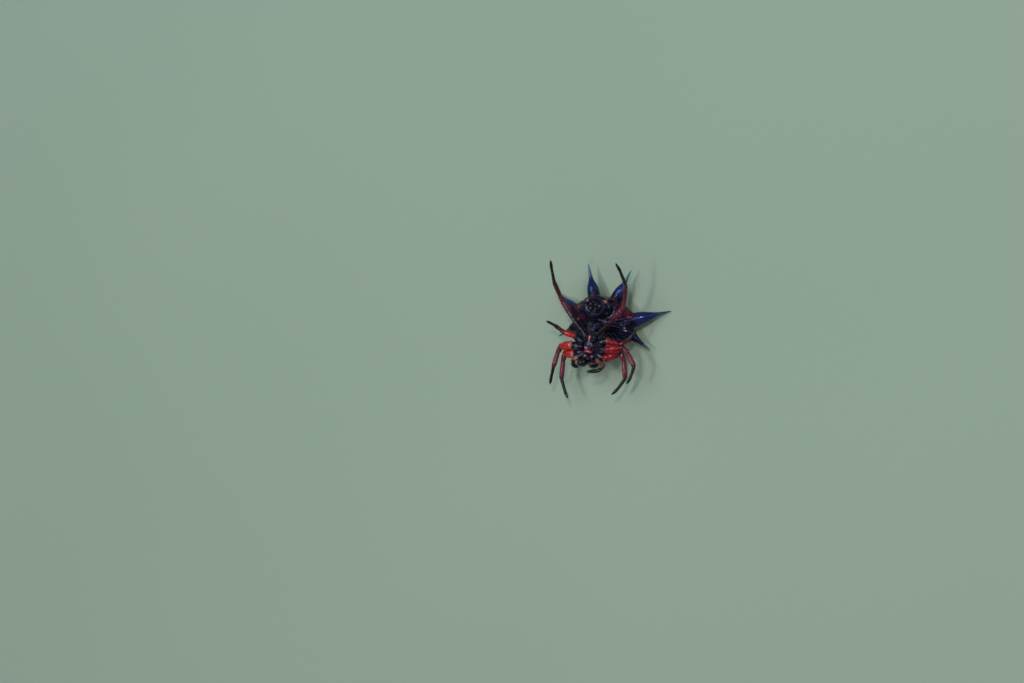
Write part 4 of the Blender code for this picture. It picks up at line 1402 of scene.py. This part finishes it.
    def build_palp_hip(self, side: Side) -> bpy.types.Object:
        """The palp's first segment."""
        inner, outer = (side.place(p) for p in self.palp_hip)
        steps = np.linspace(0.0, 1.0, 24)
        line = between(inner, outer, steps)
        girth = np.interp(steps, (0.0, 1.0), self.palp_hip_radii) * (1.0 + 0.06 * np.sin(steps * 9.0))
        bm = bmesh.new()
        add_tube(bm, line, girth, sides=32)
        return new_piece(f"palp_hip_{side.word}", bm, BLACK_SHELL)

    def build_pedicel(self) -> bpy.types.Object:
        """The waist that joins the two halves of the body, ringed by soft folds."""
        steps = np.linspace(0.0, 1.0, 60)
        front, rear = (np.array([0.0, y, self.pedicel_level]) for y in self.pedicel_span)
        line = between(front, rear, steps)
        girth = self.pedicel_radius * (1.0 + 0.06 * waves(steps, 1.0 / self.pedicel_folds)
                                       + 0.2 * (steps - 0.5) ** 2)
        bm = bmesh.new()
        add_tube(bm, line, girth, sides=40)
        return new_piece("pedicel", bm, SOFT_SKIN)

    def build(self) -> None:
        """All of the front body."""
        self.build_carapace()
        self.build_chest()
        self.build_sternum()
        self.build_sternum_marks()
        self.build_labium()
        self.build_pedicel()
        for side in Side:
            self.build_endite(side)
            self.build_palp_hip(side)
            for leg in self.coxa_inner:
                self.build_coxa(leg, side)


@dataclass
class Jaw:
    """One chelicera: a stout base, its toothed furrow and the folded fang."""

    middle: tuple = (0.83, -6.15, 4.5)
    radii: tuple = (0.67, 0.6, 0.78)
    lean: float = 6.0
    fang_radius: float = 0.13
    teeth: int = 4
    tooth_radius: float = 0.04
    tooth_pitch: float = 0.09
    hair: HairStyle = HairStyle((0.12, 0.3), 0.01, 0.5, 0.15)
    # The soft skin that joins the jaw to the head.
    neck_root: tuple = (0.52, -5.55, 3.35)
    neck_radius: float = 0.4

    def build(self, side: Side) -> bpy.types.Object:
        """The jaw of one side, with its fang, teeth, hairs and the soft skin at its root."""
        bm = bmesh.new()
        middle = side.place(self.middle)
        lean = Matrix.Rotation(math.radians(self.lean), 4, "X")
        verts = add_ball(bm, np.zeros(3), (1.0, 1.0, 1.0), None, 64, 56)
        for vert in verts:
            x, y, z = vert.co
            drawn = 1.0 + 0.16 * (1.0 - z * z) * smoothstep(0.0, 1.0, -z) - 0.1 * smoothstep(0.4, 1.0, z)
            ripple = 0.012 * noise.noise(Vector((x * 2.0, y * 2.0, z * 9.0)))
            place = Vector([p * r * (drawn + ripple) for p, r in zip((x, y), self.radii)] + [z * self.radii[2]])
            vert.co = lean @ place + Vector(middle)
        end = np.array(lean @ Vector((0.0, 0.0, self.radii[2])))
        inward = -float(side.value)
        root = middle + end * 0.86 + np.array([-inward * 0.17, -0.02, 0.0])
        line = smooth_through([root, root + (inward * 0.12, 0.02, 0.14), root + (inward * 0.36, 0.14, 0.17),
                               root + (inward * 0.55, 0.3, 0.06)], 10)
        steps = np.linspace(0.0, 1.0, len(line))
        fang = bmesh.new()
        add_tube(fang, line, self.fang_radius * (1.0 - steps**1.6 * 0.93), steps, 20, 0.85)
        new_piece(f"fang_{side.word}", fang, FANG_HORN)
        for i in range(self.teeth):
            foot = middle + end * 0.93 + np.array([inward * (0.1 + self.tooth_pitch * i), 0.16 - 0.02 * i, -0.06])
            steps = np.linspace(0.0, 1.0, 8)
            line = foot + np.outer(steps, (0.0, 0.02, 0.13))
            add_tube(bm, line, self.tooth_radius * (1.0 - 0.9 * steps**1.5), sides=10)
        neck = bmesh.new()
        steps = np.linspace(0.0, 1.0, 30)
        line = between(side.place(self.neck_root), middle - end * 0.45, steps)
        add_tube(neck, line, self.neck_radius * (1.0 + 0.04 * np.cos(steps * 30.0)), sides=36)
        new_piece(f"jaw_root_{side.word}", neck, SOFT_SKIN)
        mesh = to_mesh(f"jaw_{side.word}", bm)
        self.grow_hairs(mesh, side)
        return dress(mesh.name, mesh, JAW_SHELL, (f"chelicera_{side.word}",))

    def grow_hairs(self, mesh: bpy.types.Mesh, side: Side) -> None:
        """Sets hairs on the front and the inner edge of the jaw."""
        places = corner_table(mesh)
        normals = corner_table(mesh, "normal")
        chance = smoothstep(0.2, -0.6, normals[:, 1]) * smoothstep(3.9, 4.6, places[:, 2]) + 1e-6
        flat = np.stack([normals[:, 0] * 0.45 + 0.5, (places[:, 2] - 3.6) / 1.8], axis=1)
        downward = np.array([0.0, 0.0, 0.8])
        coat = hairs_on_skin(mesh, chance, downward, flat, 150, 70 + side.value, self.hair)
        coat.grow(f"jaw_{side.word}_hair", BLACK_SETA, Slot.BLACK_SHELL)


LIMB_ENDS = ("#1c1815", "#12130f")
# The colours of the front legs beyond the thigh.
FRONT_SHIN = ((0.215, "#5c1a28"), (0.385, "#742a38"), (0.4, "#3c0e1a"), (0.415, "#6e2a34"), (0.5, "#80384a"),
              (0.57, "#6c242e"), (0.6, "#380e18"), (0.612, LIMB_ENDS[0]), (1.0, LIMB_ENDS[1]))
# The left thighs are painted brighter red as painted light and the right ones darker as painted shade; the pink at
# the left thighs' root is a painted highlight.
FRONT_LEG_LIT_LEFT = LimbCuticle("front_leg_left_lit_cuticle", (
    (0.0, "#b86050"), (0.015, "#b4301c"), (0.03, "#c0241a"), (0.1, "#b81c18"), (0.17, "#901418"), (0.2, "#500c12"),
    *FRONT_SHIN))
FRONT_LEG_SHADED_RIGHT = LimbCuticle("front_leg_right_shaded_cuticle", (
    (0.0, "#641c1c"), (0.02, "#80181a"), (0.05, "#a01420"), (0.11, "#8c1014"), (0.16, "#640c10"), (0.2, "#3c080c"),
    *FRONT_SHIN))
# Likewise the left third thigh is painted brighter red as painted light and the right one darker as painted shade;
# the orange-pink at the right one's root is a painted highlight.
THIRD_LEG_LIT_LEFT = LimbCuticle("third_leg_left_lit_cuticle", (
    (0.0, "#6c1014"), (0.03, "#b01c18"), (0.16, "#b42020"), (0.195, "#6c1418"), (0.22, "#4c201e"),
    (0.4, "#2c1512"), (0.42, "#38201c"), (0.6, "#1e1612"), (0.62, LIMB_ENDS[0]), (1.0, LIMB_ENDS[1])))
THIRD_LEG_SHADED_RIGHT = LimbCuticle("third_leg_right_shaded_cuticle", (
    (0.0, "#8c3a2c"), (0.008, "#984634"), (0.017, "#8c1a1a"), (0.12, "#881016"), (0.17, "#600c10"), (0.2, "#400a10"),
    (0.215, "#8a2434"), (0.385, "#7c2430"), (0.4, "#3c0e16"), (0.415, "#702a34"), (0.585, "#4c1c20"),
    (0.6, "#241010"), (0.62, LIMB_ENDS[0]), (1.0, LIMB_ENDS[1])))
REAR_LEG = LimbCuticle("rear_leg_cuticle", lump_depth_mm=0.06, roughness=0.17, shine=0.5, coat=0.0, bands=(
    (0.0, "#0c080c"), (0.05, "#14080e"), (0.09, "#260a12"), (0.13, "#44101c"), (0.185, "#702636"),
    (0.2, "#3c0c14"), (0.215, "#742636"), (0.385, "#6a2432"), (0.4, "#320e16"), (0.415, "#5c202c"),
    (0.57, "#4a1c24"), (0.6, "#241012"), (0.612, LIMB_ENDS[0]), (1.0, LIMB_ENDS[1])))
PALP_SKIN_LEFT = LimbCuticle("palp_left_cuticle", (
    (0.0, "#8a3c28"), (0.1, "#b0685a"), (0.34, "#a05846"), (0.44, "#6c2c20"), (0.54, "#2a1814"),
    (0.6, LIMB_ENDS[0]), (1.0, LIMB_ENDS[1])))
PALP_SKIN_RIGHT = LimbCuticle("palp_right_cuticle", (
    (0.0, "#8c4034"), (0.08, "#98584a"), (0.24, "#80443a"), (0.4, "#6c2a26"), (0.56, "#4c2220"),
    (0.64, LIMB_ENDS[0]), (1.0, LIMB_ENDS[1])))


@dataclass(frozen=True)
class Segment:
    """One stiff segment of a leg: its ends, its place along the leg and its thickness."""

    start: np.ndarray
    end: np.ndarray
    marks: tuple[float, float]
    radius: float
    shape: tuple[tuple[float, float], ...]
    bow: float = 0.0
    # How far the round ends reach past the joints, as a share of the radius there.
    cap_share: float = 0.62

    def tube(self, bm: bmesh.types.BMesh, pitch: float) -> tuple[list[Matrix], np.ndarray]:
        """Draws the segment with rounded ends and a raised rim at the far one.

        Args:
            bm: The bmesh that gets it.
            pitch: The way between two rings, in millimetres.

        Returns:
            The ring matrices, and how far along the leg each is.
        """
        run = self.end - self.start
        length = float(np.linalg.norm(run))
        way = run / length
        caps = self.cap_share * self.radius * np.array([self.shape[0][1], self.shape[-1][1]])
        reach = np.linspace(-caps[0], length + caps[1], max(16, int((length + caps.sum()) / pitch)))
        share = np.clip(reach / length, 0.0, 1.0)
        radius = self.radius * profile_at(self.shape, share)
        for cap, inset in zip(caps, (reach + caps[0], length + caps[1] - reach)):
            radius *= np.sqrt(np.clip(1.0 - (1.0 - np.clip(inset / (1.7 * cap), 0.0, 1.0)) ** 2, 0.004, 1.0))
        radius *= 1.0 + 0.05 * np.exp(-(((length - reach - 0.06) / 0.05) ** 2))
        sag = np.zeros((len(reach), 3))
        sag[:, 1] = -self.bow * 6.75 * share * (1.0 - share) ** 2
        line = self.start + reach[:, None] * way + sag
        marks = self.marks[0] + (self.marks[1] - self.marks[0]) * share
        return add_tube(bm, line, radius, marks, 24), marks


@dataclass
class Leg:
    """One leg from the trochanter to the claws, a shell for each segment with soft skin between."""

    number: int
    side: Side
    root: tuple[float, float, float]
    lengths: tuple[float, ...]
    radii: tuple[float, ...]
    pose: tuple[tuple[float, float], ...]
    finish: LimbCuticle
    slot: Slot
    root_gap: float = 0.15
    sunk: float = 0.12
    trochanter: float = 0.34
    patella_share: float = 0.8
    tarsus_bend: float = 0.35
    femur_bow: float = 0.0
    root_swell: float = 0.0
    swell_reach: tuple[float, float] = (0.8, 0.1)
    pitch: float = 0.045
    claw_length: float = 0.2
    claw_radius: float = 0.032
    hair: HairStyle = HairStyle((0.09, 0.2), 0.008, 0.72)
    foot_hair: HairStyle = HairStyle((0.08, 0.17), 0.008, 0.75)
    bristle: HairStyle = HairStyle((0.24, 0.42), 0.013, 0.5)
    # How many hairs there are on a millimetre of the leg.
    hair_density: float = 90.0
    foot_hair_density: float = 200.0
    bristle_density: float = 5.0
    # The thickness of trochanter, femur, patella, tibia, metatarsus and tarsus, as shares of the radius.
    shapes: tuple = (
        ((0.0, 0.8), (0.5, 0.94), (1.0, 0.9)),
        ((0.0, 0.84), (0.12, 0.94), (0.4, 1.0), (0.75, 0.94), (1.0, 0.82)),
        ((0.0, 0.86), (0.5, 1.06), (1.0, 0.84)),
        ((0.0, 0.82), (0.2, 0.98), (0.75, 1.02), (1.0, 0.8)),
        ((0.0, 1.0), (0.5, 0.88), (1.0, 0.82)),
        ((0.0, 0.96), (0.4, 0.92), (0.8, 0.7), (1.0, 0.42)),
    )

    def way(self, angles: tuple[float, float]) -> np.ndarray:
        """The direction with a heading towards the rear and a lift towards the underside."""
        heading, lift = (math.radians(a) for a in angles)
        return self.side.place((math.cos(lift) * math.cos(heading), math.cos(lift) * math.sin(heading),
                                math.sin(lift)))

    def joints(self) -> list[np.ndarray]:
        """The six joint places, from the root to the claws."""
        femur, tibia, foot = (self.way(angles) for angles in self.pose)
        patella = unit(tibia * self.patella_share + femur * (1.0 - self.patella_share))
        toe = unit(foot + (foot - tibia) * self.tarsus_bend)
        found = [self.side.place(self.root) + femur * self.root_gap]
        for length, way in zip(self.lengths, (femur, patella, tibia, foot, toe)):
            found.append(found[-1] + way * length)
        return found

    def segments(self) -> list[Segment]:
        """The six segments, from the trochanter to the tarsus."""
        joints = self.joints()
        first = unit(joints[1] - joints[0])
        knee = joints[0] + first * self.trochanter
        share = self.trochanter / self.lengths[0] * 0.2
        full = [tuple((place, size + self.root_swell * smoothstep(*reach, place)) for place, size in shape)
                for shape, reach in zip(self.shapes, ((-0.5, 0.3), self.swell_reach))]
        shapes = (*full, *self.shapes[2:])
        found = [Segment(joints[0] - first * (self.root_gap + self.sunk), knee, (0.0, share), self.radii[0],
                         shapes[0])]
        ends = [knee, *joints[1:]]
        ends[-1] = joints[-1] - unit(joints[-1] - joints[-2]) * self.claw_length * 0.6
        for i, (start, end) in enumerate(zip(ends, ends[1:])):
            marks = (share if i == 0 else i * 0.2, (i + 1) * 0.2)
            found.append(Segment(start, end, marks, self.radii[i], shapes[i + 1],
                                 self.femur_bow if i == 0 else 0.0))
        return found

    def build(self) -> bpy.types.Object:
        """The leg with its joint skins, hairs, bristles and claws."""
        name = f"leg_{self.number}_{self.side.word}"
        seed = 100 + 10 * self.number + self.side.value
        bm = bmesh.new()
        joint_skin = bmesh.new()
        hairs = Coat()
        bristles = Coat()
        segments = self.segments()
        for i, segment in enumerate(segments):
            frames, marks = segment.tube(bm, self.pitch)
            length = float(np.linalg.norm(segment.end - segment.start))
            if i > 0:
                ball = 0.86 * segment.radius * segment.shape[0][1]
                add_ball(joint_skin, segment.start, (ball, ball, ball), None, 24, 16)
            foot = i >= 4
            coat, density, style = ((bristles, self.foot_hair_density, self.foot_hair) if foot
                                    else (hairs, self.hair_density, self.hair))
            hairs_on_tube(coat, frames, marks, int(density * length), seed + i, style, segment.marks)
            if i > 1:
                count = int(self.bristle_density * length) + 1
                hairs_on_tube(bristles, frames, marks, count, seed + 20 + i, self.bristle, segment.marks)
        skin = new_piece(name + "_skin", bm, self.finish, (name,))
        new_piece(name + "_joint_skin", joint_skin, SOFT_SKIN)
        hairs.grow(name + "_hair", AMBER_SETA, self.slot)
        bristles.grow(name + "_bristles", BLACK_SETA, self.slot)
        self.build_claws(name, segments[-1], frames)
        return skin

    def build_claws(self, name: str, tarsus: Segment, frames: list[Matrix]) -> None:
        """The pair of curved claws and the small middle one.

        Args:
            name: The leg's name.
            tarsus: The last segment.
            frames: Its ring matrices.
        """
        way = unit(tarsus.end - tarsus.start)
        side = unit(np.array(frames[-1].col[0][:3]))
        below = np.array([0.0, 0.0, -1.0])
        down = unit(below - way * (way @ below))
        bm = bmesh.new()
        for shift, size in ((-0.045, 1.0), (0.045, 1.0), (0.0, 0.65)):
            foot = tarsus.end + side * shift
            bend = [foot, foot + way * 0.1 * size + down * -0.02,
                    foot + way * 0.17 * size + down * 0.02 + side * shift * 0.6,
                    foot + way * 0.2 * size + down * 0.1 * size + side * shift]
            line = smooth_through(bend, 6)
            girth = self.claw_radius * size * (1.0 - 0.88 * np.linspace(0.0, 1.0, len(line)) ** 1.3)
            add_tube(bm, line, girth, sides=10)
        new_piece(name + "_claws", bm, CLAW_HORN)


LEG_LENGTHS = {1: (2.05, 1.1, 2.2, 1.75, 0.9), 2: (2.05, 0.95, 1.8, 1.5, 0.85), 3: (1.5, 0.6, 1.1, 0.9, 0.55),
               4: (5.0, 1.05, 2.05, 2.15, 1.05)}
THIGH_RADII = {1: (0.48, 0.45), 2: (0.5, 0.49), 3: (0.38, 0.43), 4: (0.36, 0.37)}
# How much thicker, or thinner, the thighs are at the root, as a share of the radius, and how far that reaches.
ROOT_SWELLS = {1: 0.28, 2: 0.2, 3: 0.05, 4: -0.3}
SWELL_REACHES = {1: (1.0, 0.1), 2: (0.9, 0.1), 3: (0.5, 0.1), 4: (0.7, 0.2)}
SHIN_RADII = {1: (0.33, 0.31, 0.22, 0.21), 2: (0.33, 0.31, 0.22, 0.21), 3: (0.28, 0.26, 0.2, 0.18),
              4: (0.29, 0.28, 0.21, 0.2)}
# Headings from the side towards the rear, and lifts towards the underside, in degrees: femur, tibia, foot.
LEG_POSES = {
    (1, Side.LEFT): ((-4, -27), (-93, 3), (-118, 5)),
    (1, Side.RIGHT): ((30, -29), (-79, -2), (-118, 11)),
    (2, Side.LEFT): ((-12, -20), (-80, 4), (-79, -7)),
    (2, Side.RIGHT): ((15, -16), (-53, 0), (-99, 8)),
    (3, Side.LEFT): ((13, 15), (23, -12), (16, -6)),
    (3, Side.RIGHT): ((-16, -36), (38, 8), (54, -4)),
    (4, Side.LEFT): ((44, -1), (84, 40), (93, 33)),
    (4, Side.RIGHT): ((47, 1), (84, 14), (102, 33)),
}
LEG_FINISHES = {
    (3, Side.LEFT): THIRD_LEG_LIT_LEFT, (3, Side.RIGHT): THIRD_LEG_SHADED_RIGHT,
    (4, Side.LEFT): REAR_LEG, (4, Side.RIGHT): REAR_LEG,
    **{(number, Side.LEFT): FRONT_LEG_LIT_LEFT for number in (1, 2)},
    **{(number, Side.RIGHT): FRONT_LEG_SHADED_RIGHT for number in (1, 2)},
}


@dataclass
class Palp:
    """One feeler beside the jaws, curled round towards them."""

    joints: dict = field(default_factory=lambda: {
        Side.LEFT: ((-1.38, -5.52, 4.75), (-1.6, -5.74, 4.92), (-1.95, -6.02, 4.88), (-1.9, -6.6, 4.85),
                    (-0.98, -6.8, 5.3)),
        Side.RIGHT: ((1.38, -5.52, 4.75), (1.6, -5.74, 4.92), (2.2, -6.2, 4.6), (1.8, -6.85, 4.95),
                     (0.6, -7.15, 5.6))})
    # The radius along the palp, from its root to its tip, with its joints' grooves.
    girth: tuple = ((0.0, 0.22), (0.1, 0.26), (0.22, 0.29), (0.36, 0.28), (0.4, 0.22), (0.44, 0.27), (0.58, 0.26),
                    (0.63, 0.19), (0.68, 0.24), (0.82, 0.24), (0.93, 0.19), (0.98, 0.13), (1.0, 0.07))
    hair: HairStyle = HairStyle((0.08, 0.2), 0.008, 0.6)
    brush: HairStyle = HairStyle((0.12, 0.28), 0.009, 0.66)

    def build(self, side: Side) -> bpy.types.Object:
        """The palp of one side with its hairs and brush."""
        points = smooth_through(list(self.joints[side]), 8)
        line, marks = even_path(points, np.linspace(0.0, 1.0, len(points)), 0.04)
        bm = bmesh.new()
        frames = add_tube(bm, line, profile_at(self.girth, marks, 6), marks, 28)
        name = f"palp_{side.word}"
        coat = Coat()
        hairs_on_tube(coat, frames, marks, 220, 80 + side.value, self.hair, (0.1, 0.66))
        coat.grow(name + "_hair", AMBER_SETA, Slot.PALP_SKIN)
        brush = Coat()
        hairs_on_tube(brush, frames, marks, 420, 90 + side.value, self.brush, (0.6, 0.99))
        brush.grow(name + "_brush", BLACK_SETA, Slot.PALP_SKIN)
        finish = PALP_SKIN_LEFT if side is Side.LEFT else PALP_SKIN_RIGHT
        return new_piece(name + "_skin", bm, finish, (name,))


# Floor, light and camera.


@dataclass
class Studio:
    """A plain pale floor, soft lights and the camera at the photograph's angle."""

    floor_radius: float = 1.2
    sky: str = "#c8d6ec"
    sky_strength: float = 0.24
    lens: float = 100.0
    sensor: float = 36.0
    picture: tuple = (1024, 683)
    pixels_per_mm: float = 8.0
    target: tuple = (0.0, 0.0, 2.1)
    target_pixel: tuple = (603.3, 314.0)
    # Each lamp: its name, its place and its side in metres, its power in watts and its colour.
    lamps: tuple = (("overhead_softbox", (-0.12, 0.2, 0.55), 0.34, 1.2, "#d4e2ff"),
                    ("side_softbox", (0.5, 0.25, 0.3), 0.25, 0.6, "#c0d0ff"),
                    ("front_softbox", (-0.2, -0.5, 0.35), 0.25, 0.25, "#fff4ea"),
                    ("small_lamp", (-0.05, -0.02, 0.4), 0.05, 0.26, "#fff6f4"))
    # The lamp near the camera: how far along the view, and its shift from it, in metres.
    near_lamp_distance: float = 0.4
    near_lamp_shift: tuple = (-0.07, 0.08, 0.0)
    near_lamp: tuple = (0.03, 0.24, "#fff6f8")
    # The camera's turns away from straight above, in degrees.
    yaw: float = 32.0
    pitch: float = 4.0
    roll: float = 6.0

    def axes(self) -> tuple[np.ndarray, np.ndarray, np.ndarray]:
        """The picture's right and up, and the way towards the camera."""
        yaw, pitch, roll = (math.radians(a) for a in (self.yaw, self.pitch, self.roll))
        right = np.array([math.cos(yaw), 0.0, -math.sin(yaw)])
        up = np.array([0.0, 1.0, 0.0])
        back = np.array([math.sin(yaw), 0.0, math.cos(yaw)])
        up, back = up * math.cos(pitch) - back * math.sin(pitch), back * math.cos(pitch) + up * math.sin(pitch)
        right, up = right * math.cos(roll) + up * math.sin(roll), up * math.cos(roll) - right * math.sin(roll)
        return right, up, back

    def build_camera(self) -> None:
        """Sets the camera so that the target falls on its pixel at the photograph's scale."""
        right, up, back = self.axes()
        focal = self.lens / self.sensor * self.picture[0]
        distance = focal / self.pixels_per_mm
        across = (self.target_pixel[0] - self.picture[0] / 2.0) / self.pixels_per_mm
        above = (self.picture[1] / 2.0 - self.target_pixel[1]) / self.pixels_per_mm
        place = np.array(self.target) - right * across - up * above + back * distance
        camera = bpy.data.objects.new("camera", bpy.data.cameras.new("camera"))
        camera.data.lens = self.lens
        camera.data.sensor_width = self.sensor
        camera.data.clip_start = 0.01
        camera.data.clip_end = 10.0
        turn = Matrix([[float(right[i]), float(up[i]), float(back[i])] for i in range(3)]).to_4x4()
        camera.matrix_world = Matrix.Translation(Vector(place) * METRES_PER_MM) @ turn
        bpy.context.scene.collection.objects.link(camera)
        bpy.context.scene.camera = camera

    def build_floor(self) -> None:
        """Lays the floor under the animal."""
        bm = bmesh.new()
        bmesh.ops.create_circle(bm, cap_ends=True, segments=96, radius=self.floor_radius)
        floor = bpy.data.objects.new("floor", to_mesh("floor", bm))
        floor.data.materials.append(PaintedBoard().material())
        bpy.context.scene.collection.objects.link(floor)

    def build_light(self, name: str, place: tuple, size: float, power: float, colour: str) -> None:
        """Hangs a soft square light that faces the animal.

        Args:
            name: Its name.
            place: Where it hangs, in metres.
            size: Its side, in metres.
            power: Its power in watts.
            colour: Its colour's hex code.
        """
        lamp = bpy.data.lights.new(name, "AREA")
        lamp.size = size
        lamp.energy = power
        lamp.color = linear(colour)[:3]
        light = bpy.data.objects.new(name, lamp)
        light.location = place
        light.rotation_mode = "QUATERNION"
        light.rotation_quaternion = Vector(place).to_track_quat("Z", "Y")
        bpy.context.scene.collection.objects.link(light)

    def build_sky(self) -> None:
        """Fills the room with pale light."""
        world = bpy.data.worlds.new("room")
        world.use_nodes = True
        ground = world.node_tree.nodes["Background"]
        ground.inputs["Color"].default_value = linear(self.sky)
        ground.inputs["Strength"].default_value = self.sky_strength
        bpy.context.scene.world = world

    def build(self) -> None:
        """Makes all of the studio."""
        bpy.context.scene.view_settings.view_transform = "Standard"
        self.build_camera()
        self.build_floor()
        self.build_sky()
        for lamp in self.lamps:
            self.build_light(*lamp)
        _, _, back = self.axes()
        near_camera = tuple(back * self.near_lamp_distance + self.near_lamp_shift)
        self.build_light("near_camera_lamp", near_camera, *self.near_lamp)


def main() -> None:
    """Builds and dresses the animal, piece by piece."""
    logging.basicConfig(level=logging.INFO, format="%(message)s")
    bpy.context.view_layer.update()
    abdomen = Abdomen()
    skin = abdomen.build()
    coat = abdomen.hairs(skin)
    dress("abdomen_skin", skin, AbdomenCuticle(), ("abdomen",))
    coat.grow("abdomen_hair", SMOKY_SETA, Slot.PLATE_AND_SPINES)
    Spinnerets().build()
    venter = Venter()
    venter.build_epigyne()
    front = FrontBody()
    front.build()
    jaw = Jaw()
    palp = Palp()
    for side in Side:
        venter.build_lung_plate(side)
        jaw.build(side)
        palp.build(side)
        for number in LEG_LENGTHS:
            rear = number == 4
            radii = (THIGH_RADII[number][side is Side.RIGHT], *SHIN_RADII[number])
            Leg(number, side, front.coxa_outer[number], LEG_LENGTHS[number], radii, LEG_POSES[number, side],
                LEG_FINISHES[number, side], Slot.CRIMSON_LEG if rear else Slot.SCARLET_LEG,
                femur_bow=0.12 if rear else 0.0, root_swell=ROOT_SWELLS[number],
                swell_reach=SWELL_REACHES[number]).build()
    Studio().build()


if __name__ == "__main__":
    main()
